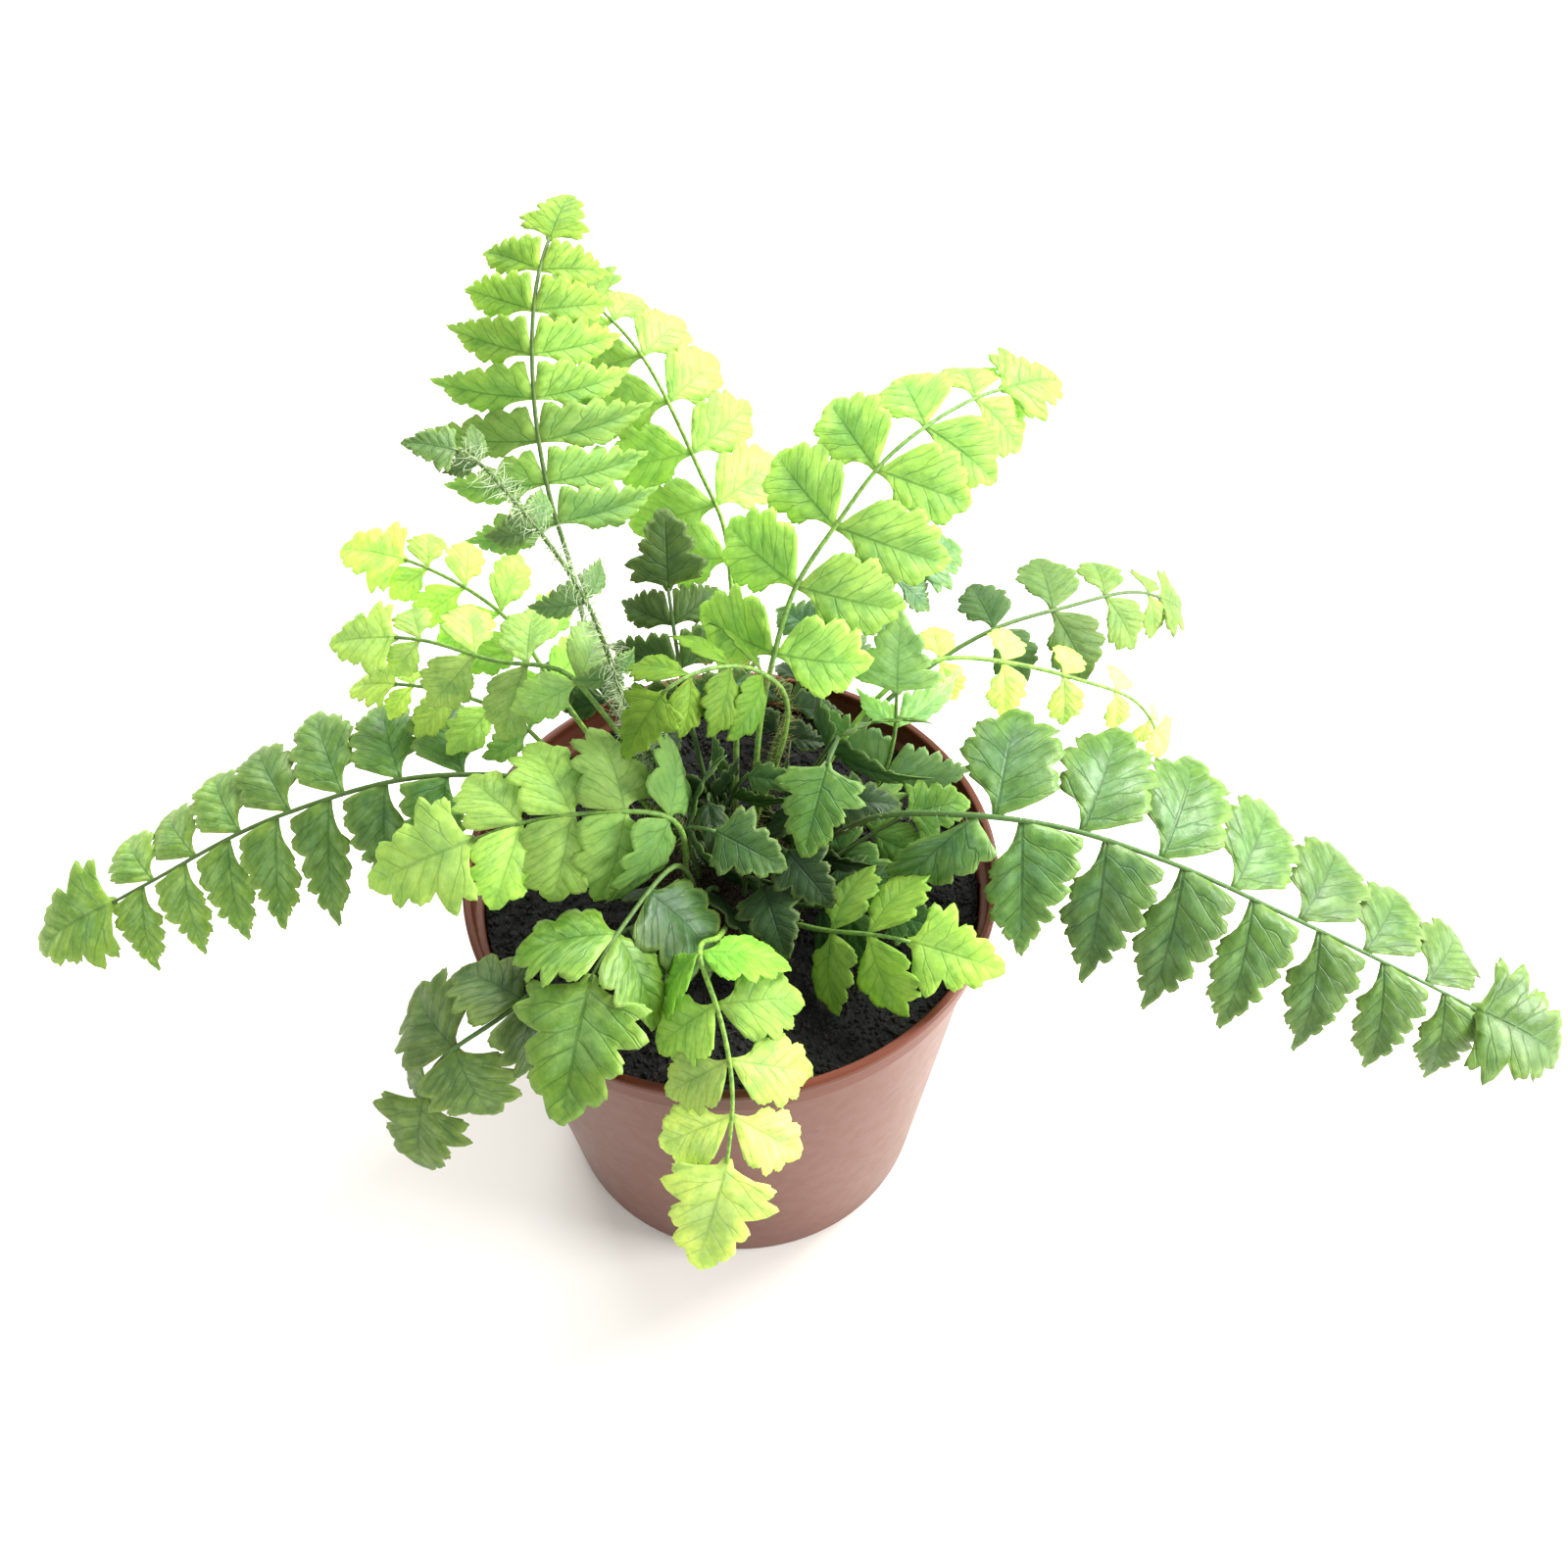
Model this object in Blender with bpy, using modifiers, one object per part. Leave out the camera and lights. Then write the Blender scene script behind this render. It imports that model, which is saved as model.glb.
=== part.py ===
"""Potted fern with holly-like leaflets, standing in a 12 cm nursery pot.

The pot stands on a foot ring and a flat centre pad. Soil fills it to just below the collar, and the
short rootstock, the crown, sits in a plain hole in the soil. Each frond is one solid: a stem that
stands in its own plain hole in the crown, lobed and toothed leaflets in pairs, and a lobed end
leaflet, all joined through shared edges. Lengths are in millimetres until a mesh is made.
+Z is up, +X is to the right and +Y away from the photograph's camera. The origin is the middle of
the pot's underside.
"""

import itertools
import math
import random
from dataclasses import dataclass

import bmesh
import bpy
from mathutils import Matrix, Vector, geometry, noise
from mathutils.bvhtree import BVHTree

MM = 0.001

# Pot
RIM_RADIUS = 60.0
POT_HEIGHT = 100.0
BASE_RADIUS = 45.4
POT_WALL = 1.1
BEAD_HEIGHT = 2.4
BEAD_OVERHANG = 0.9
LIP_ROUND = 0.5
COLLAR_HEIGHT = 7.5
COLLAR_STEP = 0.7
FOOT_WIDTH = 3.0
FOOT_ROUND = 0.8
FOOT_RECESS = 2.4
PAD_RADIUS = 13.0
DRAIN_HOLES = 6
DRAIN_HOLE_RADIUS = 3.0
DRAIN_HOLE_SIDES = 10
DRAIN_CIRCLE_RADIUS = 29.0
DRAIN_CUT_LENGTH = 8.0
POT_STEPS = 32

# Soil and crown
GAP = 0.3
SOIL_TOP = 92.0
SOIL_ROUGHNESS = 1.6
SOIL_LUMP_SIZE = 14.0
SOIL_LEVEL_REACH = 8.0
SOIL_RINGS = 6
CROWN_RADIUS = 18.0
CROWN_TOP = 98.5
CROWN_RISE = 6.0
CROWN_DEPTH = 13.0
CROWN_CHAMFER = 2.0
CROWN_RINGS = 4
CROWN_STEPS = 16

# Stems
SOCKET_DEPTH = 6.0
SOCKET_RADIUS = 1.7
SOCKET_SIDES = 5
SOCKET_CUT_ABOVE = 6.0
STEM_WIDTH = 1.5
TIP_WIDTH = 0.8
STEM_THICKNESS = 1.5
BLADE_THICKNESS = 0.65
BARE_STEP = 14.0

# Leaflets
NECK = 0.8
SHINGLE_TWIST = 11.0
BLADE_CURL = 0.45
BLADE_CUP = 0.25
LIGHT = Vector((0, -0.6, 0.8))
ANGLE_JITTER = 2.5
HANG_JITTER = 1.5
LENGTH_JITTER = 0.05
END_ROOM_SHARE = 0.55
BACK_BEFORE = 0.4
LARGEST_AT = 0.35

# Crowding: a leaflet in another's way hangs lower or higher, or stays smaller
SHEET_CLEARANCE = 0.5
STEM_CHECK_STEP = 3.0
OWN_STEM_MARGIN = 4.0
POT_CLEARANCE = 1.0
HANG_CHOICES = (0, 6, -6, 12, -12, 20, -20, 28, -28)
SIZE_CHOICES = (1.0, 0.88, 0.76, 0.64, 0.52)
DEGREES_PER_SIZE = 80.0
CHOICES = sorted(
    itertools.product(HANG_CHOICES, SIZE_CHOICES),
    key=lambda choice: abs(choice[0]) + (1 - choice[1]) * DEGREES_PER_SIZE,
)

# Outlines: the first number runs along a leaflet's rib, as a share of its length, and the second
# across it, positive towards the tip of the frond. A leaflet drawn so is OUTLINE_BREADTH wide.
OUTLINE_BREADTH = 0.75
LARGE_LEAFLET = [
    (0, -0.035), (0.10, -0.10), (0.24, -0.27), (0.44, -0.33), (0.53, -0.25), (0.72, -0.25),
    (0.84, -0.14), (1, 0.01), (0.86, 0.15), (0.74, 0.26), (0.56, 0.29), (0.48, 0.38), (0.32, 0.42),
    (0.14, 0.34), (0, 0.035),
]
LARGE_RIB = [(0.35, 0), (0.70, 0)]
SMALL_LEAFLET = [
    (0, -0.04), (0.22, -0.27), (0.44, -0.32), (0.70, -0.26), (0.80, -0.15), (1, 0.01), (0.82, 0.17),
    (0.70, 0.27), (0.46, 0.38), (0.16, 0.34), (0, 0.04),
]
SMALL_RIB = [(0.50, 0)]
LARGE_END = [
    (0, -0.04), (0.08, -0.20), (0.15, -0.44), (0.35, -0.47), (0.45, -0.15), (0.64, -0.27),
    (0.85, -0.20), (1, 0), (0.85, 0.20), (0.64, 0.27), (0.45, 0.15), (0.35, 0.47), (0.15, 0.44),
    (0.08, 0.20), (0, 0.04),
]
LARGE_END_RIB = [(0.40, 0), (0.75, 0)]
SMALL_END = [
    (0, -0.05), (0.24, -0.44), (0.45, -0.16), (0.74, -0.26), (1, 0), (0.74, 0.26), (0.45, 0.16),
    (0.24, 0.44), (0, 0.05),
]
SMALL_END_RIB = [(0.50, 0)]

TONES = {
    "frond_dark": (0.085, 0.20, 0.045),
    "frond_deep": (0.17, 0.36, 0.10),
    "frond_mid": (0.22, 0.44, 0.09),
    "frond_bright": (0.42, 0.68, 0.10),
    "frond_yellow": (0.70, 0.88, 0.18),
}


@dataclass(frozen=True)
class Frond:
    """One frond. Lengths are in mm, angles in degrees and shares are of one.

    root is where the stem leaves the crown, and route holds the points that its rib then passes
    through, out to the tip of the end leaflet. rise is the stem's slope as it leaves the crown.
    leaf is the longest leaflet, base and tip the sizes of the first and the last pair against it,
    and breadth a leaflet's width against its length. droop is how far the left and the right
    leaflets hang, seen from the crown, and turn how far the frond's upper side has turned to the
    light. fore holds the angles between the rib and the first and the last leaflets. room is the
    widest that a leaflet may be, against its distance from the next. stagger moves the right leaflets
    towards the tip, as a share of that distance. back holds the angle with the rib and the length of
    a leaflet at the foot of the blade that points back to the crown.
    """

    name: str
    tone: str
    root: tuple
    route: tuple
    pairs: int
    leaf: float
    bare: float = 0.40
    end: float = 1.0
    base: float = 0.8
    tip: float = 0.6
    breadth: float = 0.60
    droop: tuple = (12.0, 12.0)
    turn: float = 0.8
    fore: tuple = (78.0, 58.0)
    room: float = 0.94
    rise: float = 72.0
    stagger: float = 0.0
    back: tuple = ()
    fine: bool = False


FRONDS = (
    Frond("frond_left_low", "frond_mid", (-14, 1),
          ((-45, 15, 112), (-65, 14, 115), (-101, 12, 105), (-139, 9, 83), (-171, 7, 62)),
          pairs=7, leaf=28, bare=0.31, base=0.75, tip=0.75, breadth=0.74, room=1.02, stagger=-0.25,
          fine=True, rise=50),
    Frond("frond_left_mid", "frond_bright", (-9, -6),
          ((-14, -13, 133), (-27, -16, 137), (-39, -17, 136), (-54, -19, 131), (-74, -21, 121)),
          pairs=4, leaf=21, bare=0.34, base=1, tip=0.95, breadth=0.95, end=1.2, fore=(104, 56),
          room=1.2, fine=True),
    Frond("frond_front_left", "frond_mid", (-6, -10),
          ((-11, -15, 118), (-20, -31, 121), (-24, -40, 122), (-31, -56, 117), (-33, -66, 102)),
          pairs=2, leaf=21, bare=0.38, base=1, tip=1, breadth=0.95, end=1.45, fore=(96, 62),
          room=1.3, fine=True),
    Frond("frond_front_left_low", "frond_deep", (-12, -10),
          ((-30, -30, 108), (-45, -47, 111), (-58, -50, 101), (-65, -48, 85), (-70, -53, 58)),
          pairs=3, leaf=20, bare=0.42, breadth=0.9, end=1.2, room=1.1, rise=42, turn=0.85),
    Frond("frond_front", "frond_yellow", (0, -13),
          ((-2, -27, 109), (-5, -41, 122), (-1, -52, 116), (1, -61, 107), (0, -70, 96), (-7, -85, 75)),
          pairs=4, leaf=18, bare=0.36, base=0.9, tip=1, breadth=0.9, end=1.35, fore=(84, 62),
          room=1.15, fine=True, rise=48),
    Frond("frond_front_right", "frond_bright", (8, -12),
          ((20, -22, 104), (34, -30, 112), (44, -34, 113), (57, -36, 108)),
          pairs=2, leaf=16, bare=0.34, base=1, tip=1.1, breadth=1, end=1.3, fore=(92, 70),
          room=1.4, rise=40, turn=0.85),
    Frond("frond_right", "frond_deep", (14, 1),
          ((33, -3, 119), (48, -7, 124), (69, -9, 122), (94, -12, 113), (121, -15, 98),
           (153, -19, 79), (196, -24, 51)),
          pairs=7, leaf=32, bare=0.275, base=0.9, tip=0.72, breadth=0.68, end=0.95, fore=(84, 58),
          room=1.0, stagger=0.3, back=(138, 26), fine=True, rise=60),
    Frond("frond_right_up", "frond_bright", (5, 7),
          ((10, 12, 150), (15, 22, 162), (24, 32, 171), (34, 42, 179), (48, 54, 182), (75, 76, 174)),
          pairs=6, leaf=25, bare=0.36, breadth=0.8, end=0.8, fore=(86, 60), room=1.05, rise=84),
    Frond("frond_top", "frond_mid", (-7, 9),
          ((-29, 24, 150), (-33, 38, 157), (-36, 44, 168), (-38, 52, 183), (-37, 67, 203),
           (-31, 94, 210)),
          pairs=7, leaf=25, bare=0.53, base=0.9, breadth=0.62, end=0.6, fore=(96, 70), room=1.15,
          rise=66),
    Frond("frond_top_behind", "frond_yellow", (1, 13),
          ((1, 50, 137), (-1, 62, 147), (-5, 69, 153), (-19, 93, 170), (-43, 127, 170)),
          pairs=6, leaf=22, bare=0.40, breadth=0.8, fore=(84, 60), room=1.05, rise=60),
    Frond("frond_young_hairy", "frond_mid", (-6, 3),
          ((-20, 6, 145), (-27, 14, 168), (-39, 20, 188), (-46, 22, 197), (-58, 22, 201)),
          pairs=4, leaf=10, bare=0.46, end=1, tip=0.8, breadth=0.7, rise=76, turn=0.6),
    Frond("frond_left_up_yellow", "frond_yellow", (-12, 8),
          ((-33, 22, 123), (-39, 28, 130), (-48, 38, 139), (-66, 48, 146), (-88, 58, 144)),
          pairs=5, leaf=18, bare=0.44, breadth=0.75, room=0.9, rise=56),
    Frond("frond_left_up_green", "frond_bright", (-10, 4),
          ((-26, 6, 145), (-31, 8, 152), (-48, 14, 151), (-62, 18, 153), (-84, 24, 147)),
          pairs=4, leaf=17, bare=0.50, breadth=0.72, rise=74),
    Frond("frond_left_low_yellow", "frond_bright", (-15, 5),
          ((-40, 21, 114), (-49, 24, 124), (-59, 27, 127), (-76, 32, 126), (-87, 36, 121)),
          pairs=4, leaf=14, bare=0.48, rise=40, turn=0.3),
    Frond("frond_centre_dark", "frond_dark", (-3, 9),
          ((-10, 24, 138), (-12, 36, 147), (-13, 43, 152), (-13, 53, 158)),
          pairs=3, leaf=18, bare=0.44, base=1, tip=0.8, breadth=0.75, room=1.05, rise=76),
    Frond("frond_centre_young", "frond_bright", (3, 2),
          ((11, 8, 149), (4, 4, 158), (-7, -3, 162), (-14, -9, 160), (-19, -14, 152)),
          pairs=3, leaf=15, bare=0.59, base=1, tip=0.8, breadth=0.8, room=0.95, rise=82, turn=0.6),
    Frond("frond_right_back_upright", "frond_bright", (15, 5),
          ((35, 16, 112), (37, 19, 122), (37, 20, 133), (37, 22, 153)),
          pairs=2, leaf=20, bare=0.40, base=1, tip=0.9, breadth=0.72, fore=(72, 52), rise=50, turn=0.85),
    Frond("frond_right_back_yellow", "frond_yellow", (12, 8),
          ((47, 31, 132), (66, 36, 125), (80, 38, 118), (96, 42, 106), (107, 44, 84)),
          pairs=5, leaf=12, bare=0.42, breadth=0.72, rise=66),
    Frond("frond_right_back_green", "frond_mid", (11, 12),
          ((62, 48, 125), (80, 57, 123), (97, 67, 118), (116, 80, 97)),
          pairs=4, leaf=18, bare=0.50, breadth=0.72, rise=66),
    Frond("frond_back_right_dark", "frond_dark", (6, 12),
          ((21, 34, 135), (28, 44, 136), (40, 56, 134), (55, 72, 130)),
          pairs=3, leaf=18, bare=0.50, breadth=0.8, rise=72),
    Frond("frond_inner_right", "frond_dark", (7, 3),
          ((20, 13, 119), (24, 11, 129), (21, 0, 131), (16, -14, 120)),
          pairs=2, leaf=20, bare=0.46, base=1, tip=1, breadth=0.9, room=1.1, rise=60, turn=0.85),
    Frond("frond_inner_far_right", "frond_dark", (15, -3),
          ((34, 5, 105), (44, 8, 109), (54, 12, 106)),
          pairs=2, leaf=16, bare=0.28, base=1, tip=1, breadth=0.95, room=1.1, rise=42, turn=0.85),
    Frond("frond_inner_low_right", "frond_deep", (13, -8),
          ((24, -14, 101), (34, -17, 103), (46, -20, 101)),
          pairs=2, leaf=16, bare=0.27, base=0.9, end=0.8, tip=1, breadth=1, room=1.1, rise=35, turn=0.85),
    Frond("frond_inner_back_left", "frond_dark", (-9, 12),
          ((-20, 24, 112), (-30, 34, 120), (-44, 46, 118)),
          pairs=2, leaf=16, bare=0.36, breadth=0.75, rise=60),
    Frond("frond_inner_back", "frond_dark", (4, 16),
          ((10, 26, 110), (16, 40, 116), (22, 58, 108)),
          pairs=3, leaf=15, bare=0.40, breadth=0.75, rise=60),
    Frond("frond_inner_front", "frond_dark", (3, -7),
          ((4, -9, 106), (8, -16, 111), (12, -30, 106)),
          pairs=2, leaf=17, bare=0.08, base=1, tip=1, breadth=0.95, room=1.1, rise=80, turn=0.85),
    Frond("frond_inner_left", "frond_deep", (-7, -2),
          ((-9, -3, 112), (-8, -7, 121), (1, -12, 124), (12, -16, 118)),
          pairs=2, leaf=17, bare=0.37, base=1, tip=1, breadth=0.95, room=1.1, rise=84, turn=0.85),
    Frond("frond_inner_centre", "frond_dark", (0, -2),
          ((5, -4, 112), (12, -11, 118), (22, -20, 110)),
          pairs=2, leaf=17, bare=0.18, base=0.9, tip=1, breadth=0.95, end=0.9, room=1.1, rise=80, turn=0.85),
    Frond("frond_inner_mid_left", "frond_dark", (-3, -6),
          ((-7, -16, 107), (-13, -25, 108), (-19, -35, 101)),
          pairs=2, leaf=18, bare=0.20, base=1, tip=1, breadth=0.95, end=0.9, room=1.1, rise=70, turn=0.85),
    Frond("frond_inner_mid_back", "frond_deep", (11, -2),
          ((19, 3, 113), (27, 6, 116), (38, 6, 112)),
          pairs=2, leaf=18, bare=0.24, base=1, tip=1, breadth=0.95, end=0.9, room=1.1, rise=70, turn=0.85),
    Frond("frond_inner_high", "frond_dark", (-1, 5),
          ((0, 6, 112), (3, 5, 122), (9, 3, 129), (18, 0, 126)),
          pairs=2, leaf=17, bare=0.26, base=1, tip=1, breadth=0.95, room=1.1, rise=80, turn=0.85),
    Frond("frond_inner_near", "frond_dark", (-3, 0),
          ((-3, 2, 111), (-4, 3, 120), (-4, -3, 124), (-2, -15, 118)),
          pairs=2, leaf=15, bare=0.30, base=1, tip=1, breadth=0.95, room=1.1, rise=80, turn=0.85),
)


def crown_height(x, y):
    """Height of the crown's domed top at this place."""
    return CROWN_TOP - CROWN_RISE * (x * x + y * y) / CROWN_RADIUS ** 2


class Stem:
    """The rib of a frond, read by its distance from the crown's surface."""

    SAMPLES = 14

    def __init__(self, frond):
        x, y = frond.root
        start = Vector((x, y, crown_height(x, y)))
        points = [start] + [Vector(point) for point in frond.route]
        heading = Vector((points[1].x - x, points[1].y - y, 0)).normalized()
        rise = math.radians(frond.rise)
        self.launch = heading * math.cos(rise) + Vector((0, 0, math.sin(rise)))
        self.points = self._curve(points)
        self.distances = [0.0]
        for before, after in zip(self.points, self.points[1:]):
            self.distances.append(self.distances[-1] + (after - before).length)
        self.length = self.distances[-1]
        self.rib_end = self.length - frond.leaf * frond.end
        chord = points[-1] - start
        self.side = Vector((-chord.y, chord.x, 0)).normalized()
        self.turn = frond.turn

    def _curve(self, points):
        """Points of a smooth curve through the given ones, which leaves the crown along the launch."""
        spans = [(after - before).length for before, after in zip(points, points[1:])]
        slopes = [self.launch]
        for index in range(1, len(points) - 1):
            before = (points[index] - points[index - 1]) / spans[index - 1]
            after = (points[index + 1] - points[index]) / spans[index]
            share = spans[index - 1] / (spans[index - 1] + spans[index])
            slopes.append(before * (1 - share) + after * share)
        slopes.append((points[-1] - points[-2]) / spans[-1] * 1.5 - slopes[-1] * 0.5)
        curve = [points[0]]
        for index, span in enumerate(spans):
            for step in range(1, self.SAMPLES + 1):
                t = step / self.SAMPLES
                curve.append(
                    points[index] * (2 * t ** 3 - 3 * t ** 2 + 1)
                    + slopes[index] * span * (t ** 3 - 2 * t ** 2 + t)
                    + points[index + 1] * (3 * t ** 2 - 2 * t ** 3)
                    + slopes[index + 1] * span * (t ** 3 - t ** 2)
                )
        return curve

    def frame(self, distance):
        """Place, direction, left side and upper side of the rib at this distance from the crown."""
        if distance <= 0:
            place = self.points[0] + self.launch * distance
            along = self.launch
        else:
            index = 1
            while index < len(self.points) - 1 and self.distances[index] < distance:
                index += 1
            before, after = self.points[index - 1], self.points[index]
            beyond = distance - self.distances[index - 1]
            place = before + (after - before).normalized() * beyond
            along = (after - before).normalized()
        side = (self.side - along * self.side.dot(along)).normalized()
        lit = LIGHT - along * LIGHT.dot(along)
        upper = (along.cross(side) * (1 - self.turn) + lit * self.turn).normalized()
        return place, along, upper.cross(along), upper


class Blade:
    """A leaflet's own frame: where a share of its length along and across the rib lies in space."""

    def __init__(self, base, axis, across, length, width, upper, lean=0.0):
        """lean slides the leaflet's ears along the rib: the cotangent of its angle with the rib."""
        self.base = base
        self.axis = axis.normalized()
        self.across = across.normalized()
        self.normal = self.axis.cross(self.across).normalized()
        if self.normal.dot(upper) < 0:
            self.normal = -self.normal
        self.length = length
        self.width = width
        self.lean = width * lean

    def point(self, x, y):
        x += max(self.lean * y, 0) * (1 - x * x)
        bend = BLADE_CURL * x
        forward = math.sin(bend) / BLADE_CURL
        fall = (1 - math.cos(bend)) / BLADE_CURL + BLADE_CUP * y * y
        return self.base + self.length * (
            self.axis * forward + self.across * (y * self.width) - self.normal * fall
        )


def triangulated(outline, rib):
    """Triangles of an outline, with edges along its rib, as indices into outline + rib."""
    points = [Vector(point) for point in outline + rib]
    count = len(outline)
    edges = [(index, (index + 1) % count) for index in range(count)]
    line = [count + index for index in range(len(rib))]
    if len(outline) % 2:
        line.append(max(range(count), key=lambda index: outline[index][0]))
    edges += list(zip(line, line[1:]))
    _, _, faces, origins, _, _ = geometry.delaunay_2d_cdt(points, edges, [], 1, 1e-6)
    return [tuple(origins[corner][0] for corner in face) for face in faces]


def pot_shape():
    """Faces just outside the rim, the soil and the crown, which leaflets keep clear of."""
    crown_edge = CROWN_RADIUS + POT_CLEARANCE
    inner_edge = RIM_RADIUS - BEAD_OVERHANG - POT_WALL - POT_CLEARANCE
    outer_edge = RIM_RADIUS + POT_CLEARANCE
    soil_top = SOIL_TOP + SOIL_ROUGHNESS + POT_CLEARANCE
    rim_top = POT_HEIGHT + POT_CLEARANCE
    profile = [
        (POT_CLEARANCE, CROWN_TOP + POT_CLEARANCE),
        (crown_edge, CROWN_TOP - CROWN_RISE + POT_CLEARANCE),
        (crown_edge, soil_top),
        (inner_edge, soil_top),
        (inner_edge, rim_top),
        (outer_edge, rim_top),
        (outer_edge, POT_HEIGHT - COLLAR_HEIGHT),
        (BASE_RADIUS + POT_CLEARANCE, 0),
    ]
    points = []
    for step in range(POT_STEPS):
        angle = math.tau * step / POT_STEPS
        points += [Vector((r * math.cos(angle), r * math.sin(angle), z)) for r, z in profile]
    faces = []
    for step, index in itertools.product(range(POT_STEPS), range(len(profile) - 1)):
        here = step * len(profile) + index
        there = (step + 1) % POT_STEPS * len(profile) + index
        faces.append([here, there, there + 1, here + 1])
    return BVHTree.FromPolygons(points, faces)


def sheet_shape(blade, outline, rib):
    """An outline's triangles on both sides of its blade, a little way off it."""
    flat = [blade.point(x, y) for x, y in outline + rib]
    offset = blade.normal * SHEET_CLEARANCE
    faces = triangulated(outline, rib)
    points = [point + offset for point in flat] + [point - offset for point in flat]
    return BVHTree.FromPolygons(points, faces + [tuple(i + len(flat) for i in face) for face in faces])


def stem_shapes(stem):
    """Short square tubes round a stem up to its end leaflet, each with the distance of its middle."""
    half = STEM_WIDTH / 2 + SHEET_CLEARANCE
    faces = [[corner, (corner + 1) % 4, (corner + 1) % 4 + 4, corner + 4] for corner in range(4)]
    count = math.ceil((stem.rib_end - SOCKET_DEPTH) / STEM_CHECK_STEP)
    step = (stem.rib_end - SOCKET_DEPTH) / count
    tubes = []
    for index in range(count):
        middle = SOCKET_DEPTH + step * (index + 0.5)
        points = []
        for distance in (middle - step / 2, middle + step / 2):
            place, _, side, upper = stem.frame(distance)
            points += [place + offset * half for offset in (side, upper, -side, -upper)]
        tubes.append((middle, BVHTree.FromPolygons(points, faces)))
    return tubes


class Crowd:
    """What has been placed so far: the pot, every stem, and the leaflets placed before."""

    def __init__(self, stems):
        self.pot = pot_shape()
        self.stems = {name: stem_shapes(stem) for name, stem in stems.items()}
        self.leaflets = []

    def is_free(self, shape, owner, distance):
        """Whether a leaflet at this distance along its owner would touch nothing that is there."""
        tubes = [
            tree for name, parts in self.stems.items() for middle, tree in parts
            if name != owner or abs(middle - distance) > OWN_STEM_MARGIN
        ]
        return not any(shape.overlap(tree) for tree in [self.pot] + tubes + self.leaflets)


class FrondBuilder:
    """Collects the vertices, faces and thickness shares of one frond's middle surface."""

    def __init__(self, frond, stem, crowd):
        self.frond = frond
        self.crowd = crowd
        self.stem = stem
        self.random = random.Random(frond.name)
        self.points = []
        self.thickness = []
        self.faces = []
        self.rows = {}

    def add(self, point, thickness):
        self.points.append(point)
        self.thickness.append(thickness)
        return len(self.points) - 1

    def stem_width(self, distance):
        share = min(max(distance / self.stem.rib_end, 0), 1)
        return STEM_WIDTH + (TIP_WIDTH - STEM_WIDTH) * share

    def row(self, distance):
        """The left and right vertices of the stem's ribbon at this distance."""
        key = round(distance, 4)
        if key not in self.rows:
            place, _, side, _ = self.stem.frame(distance)
            width = self.stem_width(distance)
            thickness = width * STEM_THICKNESS / STEM_WIDTH
            left = self.add(place + side * (width / 2), thickness)
            right = self.add(place - side * (width / 2), thickness)
            self.rows[key] = (left, right)
        return self.rows[key]

    def pair_places(self):
        """Distances of the leaflet pairs along the stem."""
        frond = self.frond
        first = self.stem.length * frond.bare
        last = self.stem.rib_end - frond.leaf * frond.tip * END_ROOM_SHARE
        gap = (last - first) / max(frond.pairs - 1, 1)
        return [first + gap * index for index in range(frond.pairs)], gap

    def jitter(self, size):
        return self.random.uniform(-size, size)

    def size(self, share):
        """Size of the leaflets against the longest, by their share of the way from first to last."""
        frond = self.frond
        if share < LARGEST_AT:
            return frond.base + (1 - frond.base) * share / LARGEST_AT
        return 1 + (frond.tip - 1) * (share - LARGEST_AT) / (1 - LARGEST_AT)

    def leaflet(self, distance, side_sign, gap, fore_angle, length):
        """Adds a leaflet on one side, grown from a short edge of the ribbon, where one has room."""
        frond = self.frond
        fore = math.radians(fore_angle + self.jitter(ANGLE_JITTER))
        hang = frond.droop[0 if side_sign > 0 else 1] + self.jitter(HANG_JITTER)
        length *= 1 + self.jitter(LENGTH_JITTER)
        breadth = min(frond.breadth, frond.room * gap * math.sin(fore) / length)
        outline, rib = (LARGE_LEAFLET, LARGE_RIB) if frond.fine else (SMALL_LEAFLET, SMALL_RIB)
        place, along, side, upper = self.stem.frame(distance)
        base = place + side * side_sign * self.stem_width(distance) / 2
        for more_hang, size in CHOICES:
            turned_down = math.radians(hang + more_hang)
            out = side * side_sign * math.cos(turned_down) - upper * math.sin(turned_down)
            axis = along * math.cos(fore) + out * math.sin(fore)
            across = along * math.sin(fore) - out * math.cos(fore)
            twist = Matrix.Rotation(math.radians(-side_sign * SHINGLE_TWIST), 3, axis)
            blade = Blade(
                base, axis, twist @ across, length * size, breadth / OUTLINE_BREADTH, upper,
                1 / math.tan(fore),
            )
            shape = sheet_shape(blade, outline, rib)
            if self.crowd.is_free(shape, frond.name, distance):
                break
        else:
            return
        self.crowd.leaflets.append(shape)
        pick = 0 if side_sign > 0 else 1
        lower = self.row(distance - NECK)[pick]
        higher = self.row(distance + NECK)[pick]
        self.sheet(blade, outline, rib, lower, higher)

    def end_leaflet(self):
        """Adds the leaflet that ends the frond."""
        frond = self.frond
        left, right = self.row(self.stem.rib_end)
        place, _, side, upper = self.stem.frame(self.stem.rib_end)
        chord = self.stem.points[-1] - place
        across = (side - chord * side.dot(chord) / chord.length_squared).normalized()
        lifted = [Matrix.Rotation(sign * BLADE_CURL / 2, 3, across) @ chord for sign in (-1, 1)]
        axis = max(lifted, key=upper.dot)
        length = chord.length * (BLADE_CURL / 2) / math.sin(BLADE_CURL / 2)
        outline, rib = (LARGE_END, LARGE_END_RIB) if frond.fine else (SMALL_END, SMALL_END_RIB)
        for size in SIZE_CHOICES:
            blade = Blade(place, axis, across, length, size, upper)
            shape = sheet_shape(blade, outline, rib)
            if self.crowd.is_free(shape, frond.name, self.stem.rib_end):
                break
        self.crowd.leaflets.append(shape)
        self.sheet(blade, outline, rib, right, left)

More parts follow.
